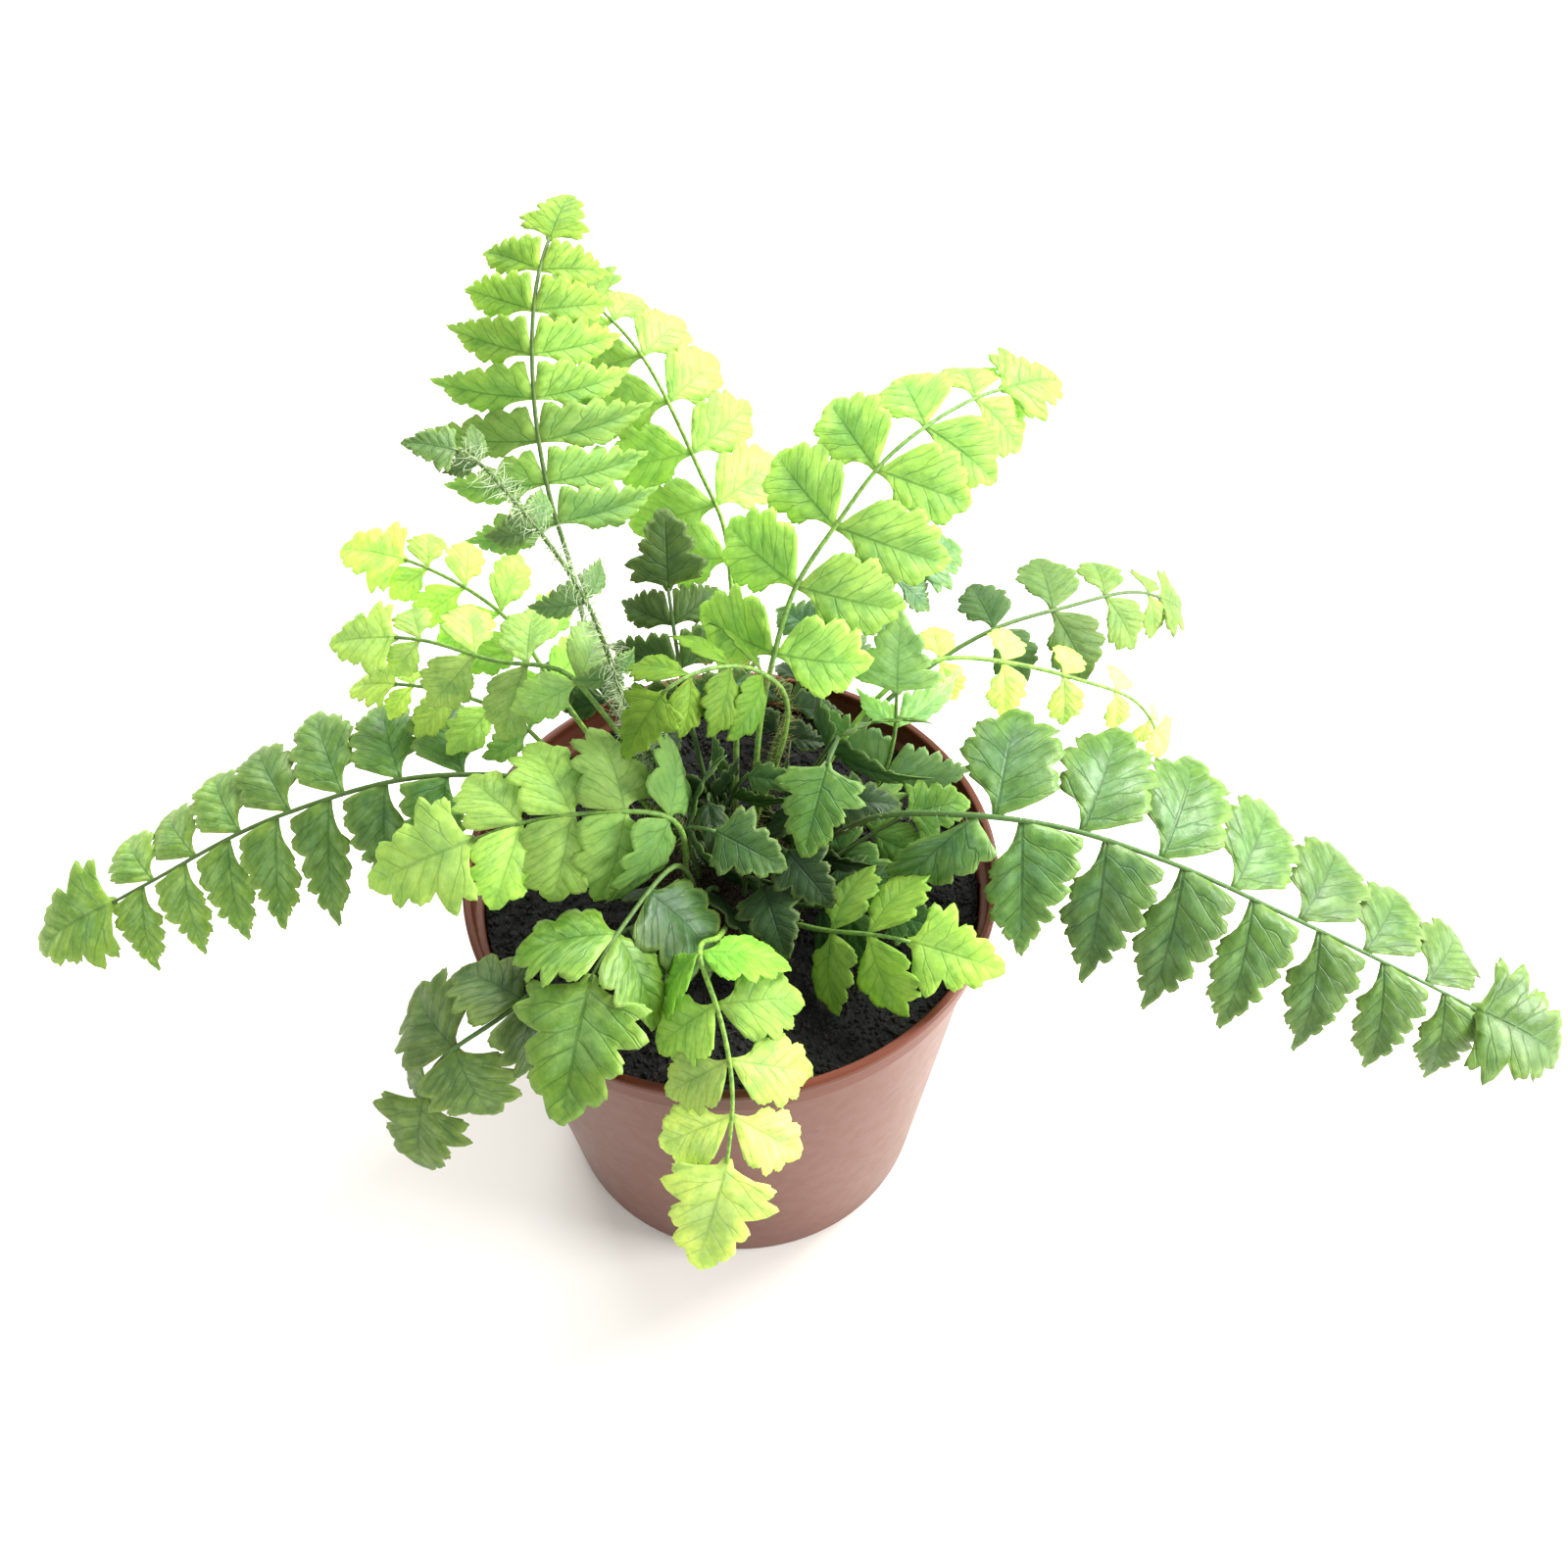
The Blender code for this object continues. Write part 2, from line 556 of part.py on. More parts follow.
    def sheet(self, blade, outline, rib, first, last):
        """Adds an outline's triangles, its first and last points being the ribbon's own."""
        corners = [first]
        for x, y in outline[1:-1]:
            corners.append(self.add(blade.point(x, y), BLADE_THICKNESS))
        corners.append(last)
        for x, y in rib:
            corners.append(self.add(blade.point(x, y), BLADE_THICKNESS))
        for face in triangulated(outline, rib):
            self.faces.append([corners[index] for index in face])

    def ribbon(self):
        """Adds the stem's ribbon, through every row of vertices that a leaflet or the socket has."""
        places = sorted(self.rows)
        filled = []
        for before, after in zip(places, places[1:]):
            steps = max(1, math.ceil((after - before) / BARE_STEP))
            filled += [before + (after - before) * step / steps for step in range(steps)]
        filled.append(places[-1])
        for before, after in zip(filled, filled[1:]):
            left, right = self.row(before)
            next_left, next_right = self.row(after)
            self.faces.append([left, right, next_right])
            self.faces.append([left, next_right, next_left])

    def build(self):
        self.row(-SOCKET_DEPTH)
        self.row(0)
        self.end_leaflet()
        places, gap = self.pair_places()
        shift = gap * self.frond.stagger
        first, last = self.frond.fore
        for index, distance in enumerate(places):
            share = index / max(len(places) - 1, 1)
            angle = first + (last - first) * share
            length = self.frond.leaf * self.size(share)
            self.leaflet(distance - shift / 2, 1, gap, angle, length)
            self.leaflet(distance + shift / 2, -1, gap, angle, length)
        if self.frond.back:
            self.leaflet(places[0] - gap * BACK_BEFORE, -1, gap, *self.frond.back)
        self.ribbon()
        mesh = bpy.data.meshes.new(self.frond.name)
        mesh.from_pydata([point * MM for point in self.points], [], self.faces)
        orient_faces(mesh)
        return mesh


def orient_faces(mesh):
    """Turns all faces of a mesh the same way round."""
    shell = bmesh.new()
    shell.from_mesh(mesh)
    bmesh.ops.recalc_face_normals(shell, faces=shell.faces)
    shell.to_mesh(mesh)
    shell.free()


def material(name, colour, roughness):
    """A plain surface of this colour."""
    made = bpy.data.materials.new(name)
    made.use_nodes = True
    shader = made.node_tree.nodes["Principled BSDF"]
    shader.inputs["Base Color"].default_value = (*colour, 1)
    shader.inputs["Roughness"].default_value = roughness
    made.diffuse_color = (*colour, 1)
    return made


def new_collection(name):
    made = bpy.data.collections.new(name)
    bpy.context.scene.collection.children.link(made)
    return made


def new_object(name, mesh, collection, surface=None):
    made = bpy.data.objects.new(name, mesh)
    collection.objects.link(made)
    if surface:
        mesh.materials.append(surface)
    return made


def turned(name, profile, steps, collection, surface):
    """A solid turned about Z from a profile that starts and ends on the axis."""
    mesh = bpy.data.meshes.new(name)
    points = [(radius * MM, 0, height * MM) for radius, height in profile]
    mesh.from_pydata(points, [(index, index + 1) for index in range(len(points) - 1)], [])
    made = new_object(name, mesh, collection, surface)
    screw = made.modifiers.new("turn", "SCREW")
    screw.steps = steps
    screw.render_steps = steps
    screw.use_merge_vertices = True
    screw.merge_threshold = 0.00005
    screw.use_smooth_shade = True
    return made


def outer_radius(height):
    """Radius of the pot's tapered outside below the collar."""
    top = RIM_RADIUS - BEAD_OVERHANG - COLLAR_STEP
    return BASE_RADIUS + (top - BASE_RADIUS) * height / POT_HEIGHT


def make_pot(collection):
    """The pot: bead, collar, tapered wall, foot ring, recess with drain holes and centre pad."""
    collar_bottom = POT_HEIGHT - COLLAR_HEIGHT
    bead_bottom = POT_HEIGHT - BEAD_HEIGHT
    collar_radius = RIM_RADIUS - BEAD_OVERHANG
    floor = FOOT_RECESS + POT_WALL
    foot_inner = BASE_RADIUS - FOOT_WIDTH
    profile = [
        (0, POT_WALL),
        (PAD_RADIUS - POT_WALL, POT_WALL),
        (PAD_RADIUS, floor),
        (outer_radius(floor) - POT_WALL, floor),
        (outer_radius(collar_bottom) - POT_WALL, collar_bottom),
        (collar_radius - POT_WALL, collar_bottom + COLLAR_STEP),
        (collar_radius - POT_WALL, POT_HEIGHT - LIP_ROUND),
        (collar_radius - POT_WALL + LIP_ROUND, POT_HEIGHT),
        (RIM_RADIUS - LIP_ROUND, POT_HEIGHT),
        (RIM_RADIUS, POT_HEIGHT - LIP_ROUND),
        (RIM_RADIUS, bead_bottom + LIP_ROUND),
        (collar_radius, bead_bottom),
        (collar_radius, collar_bottom),
        (outer_radius(collar_bottom), collar_bottom - COLLAR_STEP),
        (outer_radius(FOOT_ROUND), FOOT_ROUND),
        (BASE_RADIUS - FOOT_ROUND, 0),
        (foot_inner, 0),
        (foot_inner - FOOT_ROUND, FOOT_RECESS),
        (PAD_RADIUS + FOOT_ROUND, FOOT_RECESS),
        (PAD_RADIUS, 0),
        (0, 0),
    ]
    plastic = material("pot_plastic", (0.33, 0.17, 0.13), 0.42)
    pot = turned("pot", profile, POT_STEPS, collection, plastic)
    drains = new_collection("drain_cutters")
    drains.hide_render = True
    up = Vector((0, 0, 1))
    for index in range(DRAIN_HOLES):
        angle = math.tau * (index + 0.5) / DRAIN_HOLES
        centre = Vector((math.cos(angle), math.sin(angle), 0)) * DRAIN_CIRCLE_RADIUS + up * FOOT_RECESS
        name = f"drain_{index}"
        cutter(name, centre, up, DRAIN_HOLE_RADIUS, DRAIN_CUT_LENGTH, DRAIN_HOLE_SIDES, drains)
    cut(pot, drains)
    return pot


def cutter(name, centre, direction, radius, length, sides, collection):
    """A prism about an axis through its centre."""
    shape = bmesh.new()
    turn = Vector((0, 0, 1)).rotation_difference(direction).to_matrix().to_4x4()
    bmesh.ops.create_cone(
        shape,
        cap_ends=True,
        segments=sides,
        radius1=radius * MM,
        radius2=radius * MM,
        depth=length * MM,
        matrix=Matrix.Translation(centre * MM) @ turn,
    )
    mesh = bpy.data.meshes.new(name)
    shape.to_mesh(mesh)
    shape.free()
    made = new_object(name, mesh, collection)
    made.hide_render = True
    made.display_type = "WIRE"
    return made


def cut(target, cutters):
    """Cuts every solid of a collection from the target."""
    difference = target.modifiers.new("cut", "BOOLEAN")
    difference.operation = "DIFFERENCE"
    difference.operand_type = "COLLECTION"
    difference.collection = cutters


def soil_height(radius, angle):
    """Height of the rough soil at this place."""
    place = Vector((math.cos(angle), math.sin(angle), 0)) * radius
    rough = SOIL_ROUGHNESS * min(1, (radius - CROWN_RADIUS) / SOIL_LEVEL_REACH)
    return SOIL_TOP + rough * noise.noise(place / SOIL_LUMP_SIZE)


def make_soil(collection):
    """Soil that fills the pot, with a plain round hole that the crown sits in."""
    floor = FOOT_RECESS + POT_WALL + GAP
    top_edge = outer_radius(SOIL_TOP) - POT_WALL - 2 * GAP
    bottom_edge = outer_radius(floor) - POT_WALL - 2 * GAP
    hole = CROWN_RADIUS + 2 * GAP
    hole_floor = SOIL_TOP - CROWN_DEPTH - GAP
    radii = [hole + (top_edge - hole) * ring / SOIL_RINGS for ring in range(SOIL_RINGS + 1)]
    profile = [(0, hole_floor), (hole, hole_floor)] + [(radius, SOIL_TOP) for radius in radii]
    profile += [(bottom_edge, floor), (0, floor)]
    earth = material("soil", (0.012, 0.010, 0.009), 0.95)
    soil = turned("soil", profile, POT_STEPS, collection, earth)
    graph = bpy.context.evaluated_depsgraph_get()
    mesh = bpy.data.meshes.new_from_object(soil.evaluated_get(graph))
    for vertex in mesh.vertices:
        x, y, z = vertex.co / MM
        radius = math.hypot(x, y)
        if z > SOIL_TOP - GAP and hole + GAP < radius < top_edge - GAP:
            vertex.co.z = soil_height(radius, math.atan2(y, x)) * MM
    soil.modifiers.clear()
    soil.data = mesh
    return soil


def make_crown(collection, stems):
    """The domed rootstock, with a plain hole along the foot of each stem."""
    bottom = SOIL_TOP - CROWN_DEPTH
    profile = []
    for ring in range(CROWN_RINGS + 1):
        radius = CROWN_RADIUS * ring / CROWN_RINGS
        profile.append((radius, crown_height(radius, 0)))
    profile.append((CROWN_RADIUS, bottom + CROWN_CHAMFER))
    profile.append((CROWN_RADIUS - CROWN_CHAMFER, bottom))
    profile.append((0, bottom))
    rootstock = material("crown", (0.05, 0.035, 0.015), 0.9)
    crown = turned("crown", profile, CROWN_STEPS, collection, rootstock)
    sockets = new_collection("stem_sockets")
    sockets.hide_render = True
    length = SOCKET_DEPTH + GAP + SOCKET_CUT_ABOVE
    for name, stem in stems.items():
        centre = stem.points[0] + stem.launch * (SOCKET_CUT_ABOVE - length / 2)
        cutter(f"socket_{name}", centre, stem.launch, SOCKET_RADIUS, length, SOCKET_SIDES, sockets)
    cut(crown, sockets)
    return crown


def make_frond(frond, stem, crowd, collection):
    """One frond's solid, from its middle surface thickened by Solidify."""
    builder = FrondBuilder(frond, stem, crowd)
    mesh = builder.build()
    made = new_object(frond.name, mesh, collection, frond_material(frond.tone))
    group = made.vertex_groups.new(name="thickness")
    for index, thickness in enumerate(builder.thickness):
        group.add([index], thickness / STEM_THICKNESS, "REPLACE")
    solid = made.modifiers.new("thickness", "SOLIDIFY")
    solid.thickness = STEM_THICKNESS * MM
    solid.offset = 0
    solid.vertex_group = group.name
    return made


def frond_material(tone):
    return bpy.data.materials.get(tone) or material(tone, TONES[tone], 0.45)


def clear_scene():
    for old in list(bpy.data.objects):
        bpy.data.objects.remove(old, do_unlink=True)


def main():
    clear_scene()
    collection = new_collection("potted_fern")
    make_pot(collection)
    make_soil(collection)
    stems = {frond.name: Stem(frond) for frond in FRONDS}
    make_crown(collection, stems)
    crowd = Crowd(stems)
    for frond in FRONDS:
        make_frond(frond, stems[frond.name], crowd, collection)


main()
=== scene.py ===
"""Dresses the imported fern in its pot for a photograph.

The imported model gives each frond's stem and leaflets in a coarse form. This script grows the same
stems and leaflets again from the same table and rules, now with cut edges, folds, veins and hairs,
and finishes the pot and the soil. Lengths are in millimetres until a mesh is made, angles in
degrees. +Z is up, +X to the right and +Y away from the camera.
"""

import itertools
import logging
import math
import random
from dataclasses import dataclass
from enum import Enum
from typing import Optional

import bmesh
import bpy
import numpy as np
from mathutils import Matrix, Vector, geometry, noise
from mathutils.bvhtree import BVHTree


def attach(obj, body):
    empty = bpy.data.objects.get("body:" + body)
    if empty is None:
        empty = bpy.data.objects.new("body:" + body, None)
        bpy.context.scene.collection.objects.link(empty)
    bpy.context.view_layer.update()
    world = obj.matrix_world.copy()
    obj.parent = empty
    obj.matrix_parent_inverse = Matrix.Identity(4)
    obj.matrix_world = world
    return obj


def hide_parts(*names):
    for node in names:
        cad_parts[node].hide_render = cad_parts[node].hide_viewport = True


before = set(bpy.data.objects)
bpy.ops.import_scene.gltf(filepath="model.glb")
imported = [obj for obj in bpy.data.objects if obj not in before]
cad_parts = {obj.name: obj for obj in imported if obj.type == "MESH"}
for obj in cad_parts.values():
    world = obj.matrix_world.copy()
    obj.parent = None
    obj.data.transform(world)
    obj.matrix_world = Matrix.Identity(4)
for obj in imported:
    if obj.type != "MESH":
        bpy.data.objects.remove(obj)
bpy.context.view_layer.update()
LOG = logging.getLogger("fern")
BODY = "root"
MM = 0.001

# Camera, fitted to the pot's rim and sides
VIEW_TARGET = Vector((12.2, 0.0, 126.5))
VIEW_DISTANCE = 358.0
VIEW_ELEVATION = 49.2
VIEW_ROLL = 0.9
LENS = 38.7
SENSOR = 36.0

# Pot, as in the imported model
RIM_RADIUS = 60.0
POT_HEIGHT = 100.0
BASE_RADIUS = 45.4
POT_WALL = 1.1
BEAD_HEIGHT = 2.4
BEAD_OVERHANG = 0.9
COLLAR_HEIGHT = 7.5
COLLAR_STEP = 0.7
FOOT_WIDTH = 3.0
FOOT_ROUND = 0.8
FOOT_RECESS = 2.4
PAD_RADIUS = 13.0
DRAIN_HOLES = 6
DRAIN_HOLE_RADIUS = 3.0
DRAIN_CIRCLE_RADIUS = 29.0
POT_STEPS = 32
FINE_POT_STEPS = 144

# Soil and crown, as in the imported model
GAP = 0.3
SOIL_TOP = 92.0
SOIL_ROUGHNESS = 1.6
SOIL_LUMP_SIZE = 14.0
SOIL_LEVEL_REACH = 8.0
CROWN_RADIUS = 18.0
CROWN_TOP = 98.5
CROWN_RISE = 6.0
CROWN_DEPTH = 13.0

# Stems and leaflets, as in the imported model
SOCKET_DEPTH = 6.0
STEM_WIDTH = 1.5
TIP_WIDTH = 0.8
SHINGLE_TWIST = 11.0
BLADE_CURL = 0.45
BLADE_CUP = 0.25
LIGHT = Vector((0, -0.6, 0.8))
ANGLE_JITTER = 2.5
HANG_JITTER = 1.5
LENGTH_JITTER = 0.05
END_ROOM_SHARE = 0.55
BACK_BEFORE = 0.4
LARGEST_AT = 0.35
SHEET_CLEARANCE = 0.5
STEM_CHECK_STEP = 3.0
OWN_STEM_MARGIN = 4.0
POT_CLEARANCE = 1.0
HANG_CHOICES = (0, 6, -6, 12, -12, 20, -20, 28, -28)
SIZE_CHOICES = (1.0, 0.88, 0.76, 0.64, 0.52)
DEGREES_PER_SIZE = 80.0
CHOICES = sorted(
    itertools.product(HANG_CHOICES, SIZE_CHOICES),
    key=lambda choice: abs(choice[0]) + (1 - choice[1]) * DEGREES_PER_SIZE,
)

# Coarse outlines, which only decide whether a leaflet has room
OUTLINE_BREADTH = 0.75
LARGE_LEAFLET = [
    (0, -0.035), (0.10, -0.10), (0.24, -0.27), (0.44, -0.33), (0.53, -0.25), (0.72, -0.25),
    (0.84, -0.14), (1, 0.01), (0.86, 0.15), (0.74, 0.26), (0.56, 0.29), (0.48, 0.38), (0.32, 0.42),
    (0.14, 0.34), (0, 0.035),
]
LARGE_RIB = [(0.35, 0), (0.70, 0)]
SMALL_LEAFLET = [
    (0, -0.04), (0.22, -0.27), (0.44, -0.32), (0.70, -0.26), (0.80, -0.15), (1, 0.01), (0.82, 0.17),
    (0.70, 0.27), (0.46, 0.38), (0.16, 0.34), (0, 0.04),
]
SMALL_RIB = [(0.50, 0)]
LARGE_END = [
    (0, -0.04), (0.08, -0.20), (0.15, -0.44), (0.35, -0.47), (0.45, -0.15), (0.64, -0.27),
    (0.85, -0.20), (1, 0), (0.85, 0.20), (0.64, 0.27), (0.45, 0.15), (0.35, 0.47), (0.15, 0.44),
    (0.08, 0.20), (0, 0.04),
]
LARGE_END_RIB = [(0.40, 0), (0.75, 0)]
SMALL_END = [
    (0, -0.05), (0.24, -0.44), (0.45, -0.16), (0.74, -0.26), (1, 0), (0.74, 0.26), (0.45, 0.16),
    (0.24, 0.44), (0, 0.05),
]
SMALL_END_RIB = [(0.50, 0)]

# Fine outlines: the smooth wedge from the stem, then lobes as (tip, notch after it), then the wedge
# back. The second number is positive towards the tip of the frond.
POINTED_WEDGE = [(-0.03, -0.03), (0.06, -0.05), (0.14, -0.08), (0.20, -0.12), (0.25, -0.18)]
POINTED_LOBES = [
    ((0.35, -0.27), (0.43, -0.23)),
    ((0.54, -0.31), (0.63, -0.22)),
    ((0.73, -0.24), (0.80, -0.14)),
    ((0.85, -0.15), (0.91, -0.07)),
    ((1.07, 0.0), (0.90, 0.08)),
    ((0.84, 0.17), (0.76, 0.14)),
    ((0.70, 0.28), (0.61, 0.22)),
    ((0.52, 0.38), (0.41, 0.33)),
    ((0.31, 0.46), (0.19, 0.43)),
    ((0.09, 0.51), (0.02, 0.37)),
]
POINTED_WEDGE_BACK = [(0.0, 0.24), (-0.01, 0.11), (-0.03, 0.03)]
ROUND_WEDGE = [(-0.03, -0.04), (0.04, -0.08), (0.08, -0.16), (0.11, -0.26)]
ROUND_LOBES = [
    ((0.20, -0.43), (0.33, -0.36)),
    ((0.48, -0.49), (0.60, -0.33)),
    ((0.77, -0.38), (0.83, -0.20)),
    ((1.04, 0.0), (0.84, 0.20)),
    ((0.80, 0.40), (0.62, 0.34)),
    ((0.50, 0.54), (0.35, 0.42)),
    ((0.13, 0.56), (0.0, 0.38)),
]
ROUND_WEDGE_BACK = [(-0.01, 0.24), (-0.015, 0.10), (-0.03, 0.04)]
FANNED_WEDGE = [(-0.03, -0.03), (0.06, -0.05), (0.14, -0.09), (0.20, -0.16)]
FANNED_LOBES = [
    ((0.30, -0.30), (0.41, -0.29)),
    ((0.56, -0.41), (0.67, -0.31)),
    ((0.80, -0.31), (0.87, -0.17)),
    ((1.06, 0.02), (0.87, 0.19)),
    ((0.81, 0.35), (0.68, 0.33)),
    ((0.58, 0.47), (0.43, 0.39)),
    ((0.28, 0.47), (0.12, 0.34)),
]
FANNED_WEDGE_BACK = [(0.05, 0.20), (0.01, 0.08), (-0.03, 0.03)]
END_WEDGE = [(-0.04, -0.035), (0.03, -0.07), (0.06, -0.15), (0.09, -0.28)]
END_LOBES = [
    ((0.12, -0.42), (0.21, -0.38)),
    ((0.32, -0.48), (0.42, -0.27)),
    ((0.54, -0.33), (0.64, -0.24)),
    ((0.77, -0.25), (0.83, -0.15)),
    ((1.02, 0.0), (0.83, 0.15)),
    ((0.77, 0.25), (0.64, 0.24)),
    ((0.54, 0.33), (0.42, 0.27)),
    ((0.32, 0.48), (0.21, 0.38)),
    ((0.12, 0.42), (0.09, 0.26)),
]
END_WEDGE_BACK = [(0.06, 0.15), (0.03, 0.07), (-0.04, 0.035)]
VARIANTS = 5
LOBE_JITTER = 0.022
SHARP_TOOTH = 0.027
BLUNT_TOOTH = 0.020
CUT_TOOTH = 0.036
TOOTH_PEAK_AT = 0.80
TOOTH_SHOULDER_AT = 0.45
SHOULDER_HEIGHT = 0.55
TOOTH_CENTRE = 0.5
TOOTH_SPREAD = 1.3
INNER_RINGS = ((0.88, 2), (0.64, 2), (0.38, 3), (0.18, 4))
SPINE_START = 0.12
SPINE_END = 0.9
SPINE_STEPS = 6
SPINE_REACH = 0.62

# Relief of a blade, as shares of its length: each reach is where it rises away from the midrib
# or towards the margin, and each start where it rises along the blade
QUILT = 0.008
QUILT_REACH = (0.03, 0.12)
CREASE = 0.022
CREASE_REACH = (0.0, 0.16)
CREASE_START = (0.02, 0.3)
RUFFLE = 0.020
RUFFLES = 4.0
RUFFLE_CENTRE = 0.4
RUFFLE_REACH = (0.4, 1.0)
RUFFLE_START = (0.15, 0.4)
TIP_DROOP = 0.07
DROOP_FROM = 0.40
WARP_TWIST = 9.0
BLADE_THICKNESS = 0.22

Colour = tuple[float, float, float]
Rgba = tuple[float, float, float, float]


def linear(red: int, green: int, blue: int) -> Colour:
    """The linear colour of an sRGB colour given in steps of 255."""
    shares = [value / 255 for value in (red, green, blue)]
    return tuple(s / 12.92 if s <= 0.04045 else ((s + 0.055) / 1.055) ** 2.4 for s in shares)


def opaque(colour: Colour, factor: float = 1.0) -> Rgba:
    """The colour times a factor, with full alpha."""
    return (*(value * factor for value in colour), 1)


class LeafForm(Enum):
    """How a leaflet is cut.

    Pointed is long with sharp teeth, round is broad with round lobes, fanned is narrow at its base,
    and the cut fan has deeper teeth.
    """

    POINTED = "pointed"
    ROUND = "round"
    FANNED = "fanned"
    CUT_FAN = "cut_fan"


class Slot(Enum):
    """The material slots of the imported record."""

    POT = "pot_plastic"
    SOIL = "soil"
    CROWN = "crown"
    DARK = "frond_dark"
    DEEP = "frond_deep"
    MID = "frond_mid"
    BRIGHT = "frond_bright"
    YELLOW = "frond_yellow"


@dataclass(frozen=True)
class Frond:
    """One frond. Lengths are in mm, angles in degrees and shares are of one.

    root is where the stem leaves the crown, and route holds the points that its rib then passes
    through, out to the tip of the end leaflet. rise is the stem's slope as it leaves the crown.
    leaf is the longest leaflet, base and tip the sizes of the first and the last pair against it,
    and breadth a leaflet's width against its length. droop is how far the left and the right
    leaflets hang, seen from the crown, and turn how far the frond's upper side has turned to the
    light. fore holds the angles between the rib and the first and the last leaflets. room is the
    widest that a leaflet may be, against its distance from the next. stagger moves the right leaflets
    towards the tip, as a share of that distance. back holds the angle with the rib and the length of
    a leaflet at the foot of the blade that points back to the crown.
    """

    name: str
    tone: Slot
    root: tuple
    route: tuple
    pairs: int
    leaf: float
    bare: float = 0.40
    end: float = 1.0
    base: float = 0.8
    tip: float = 0.6
    breadth: float = 0.60
    droop: tuple = (12.0, 12.0)
    turn: float = 0.8
    fore: tuple = (78.0, 58.0)
    room: float = 0.94
    rise: float = 72.0
    stagger: float = 0.0
    back: tuple = ()
    fine: bool = False

    @property
    def node(self) -> str:
        """Name of the frond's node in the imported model."""
        return f"frond_{self.name}"


# What most of the small dark fronds between the others have in common
INNER = {"pairs": 2, "base": 1, "tip": 1, "breadth": 0.95, "room": 1.1, "turn": 0.85}


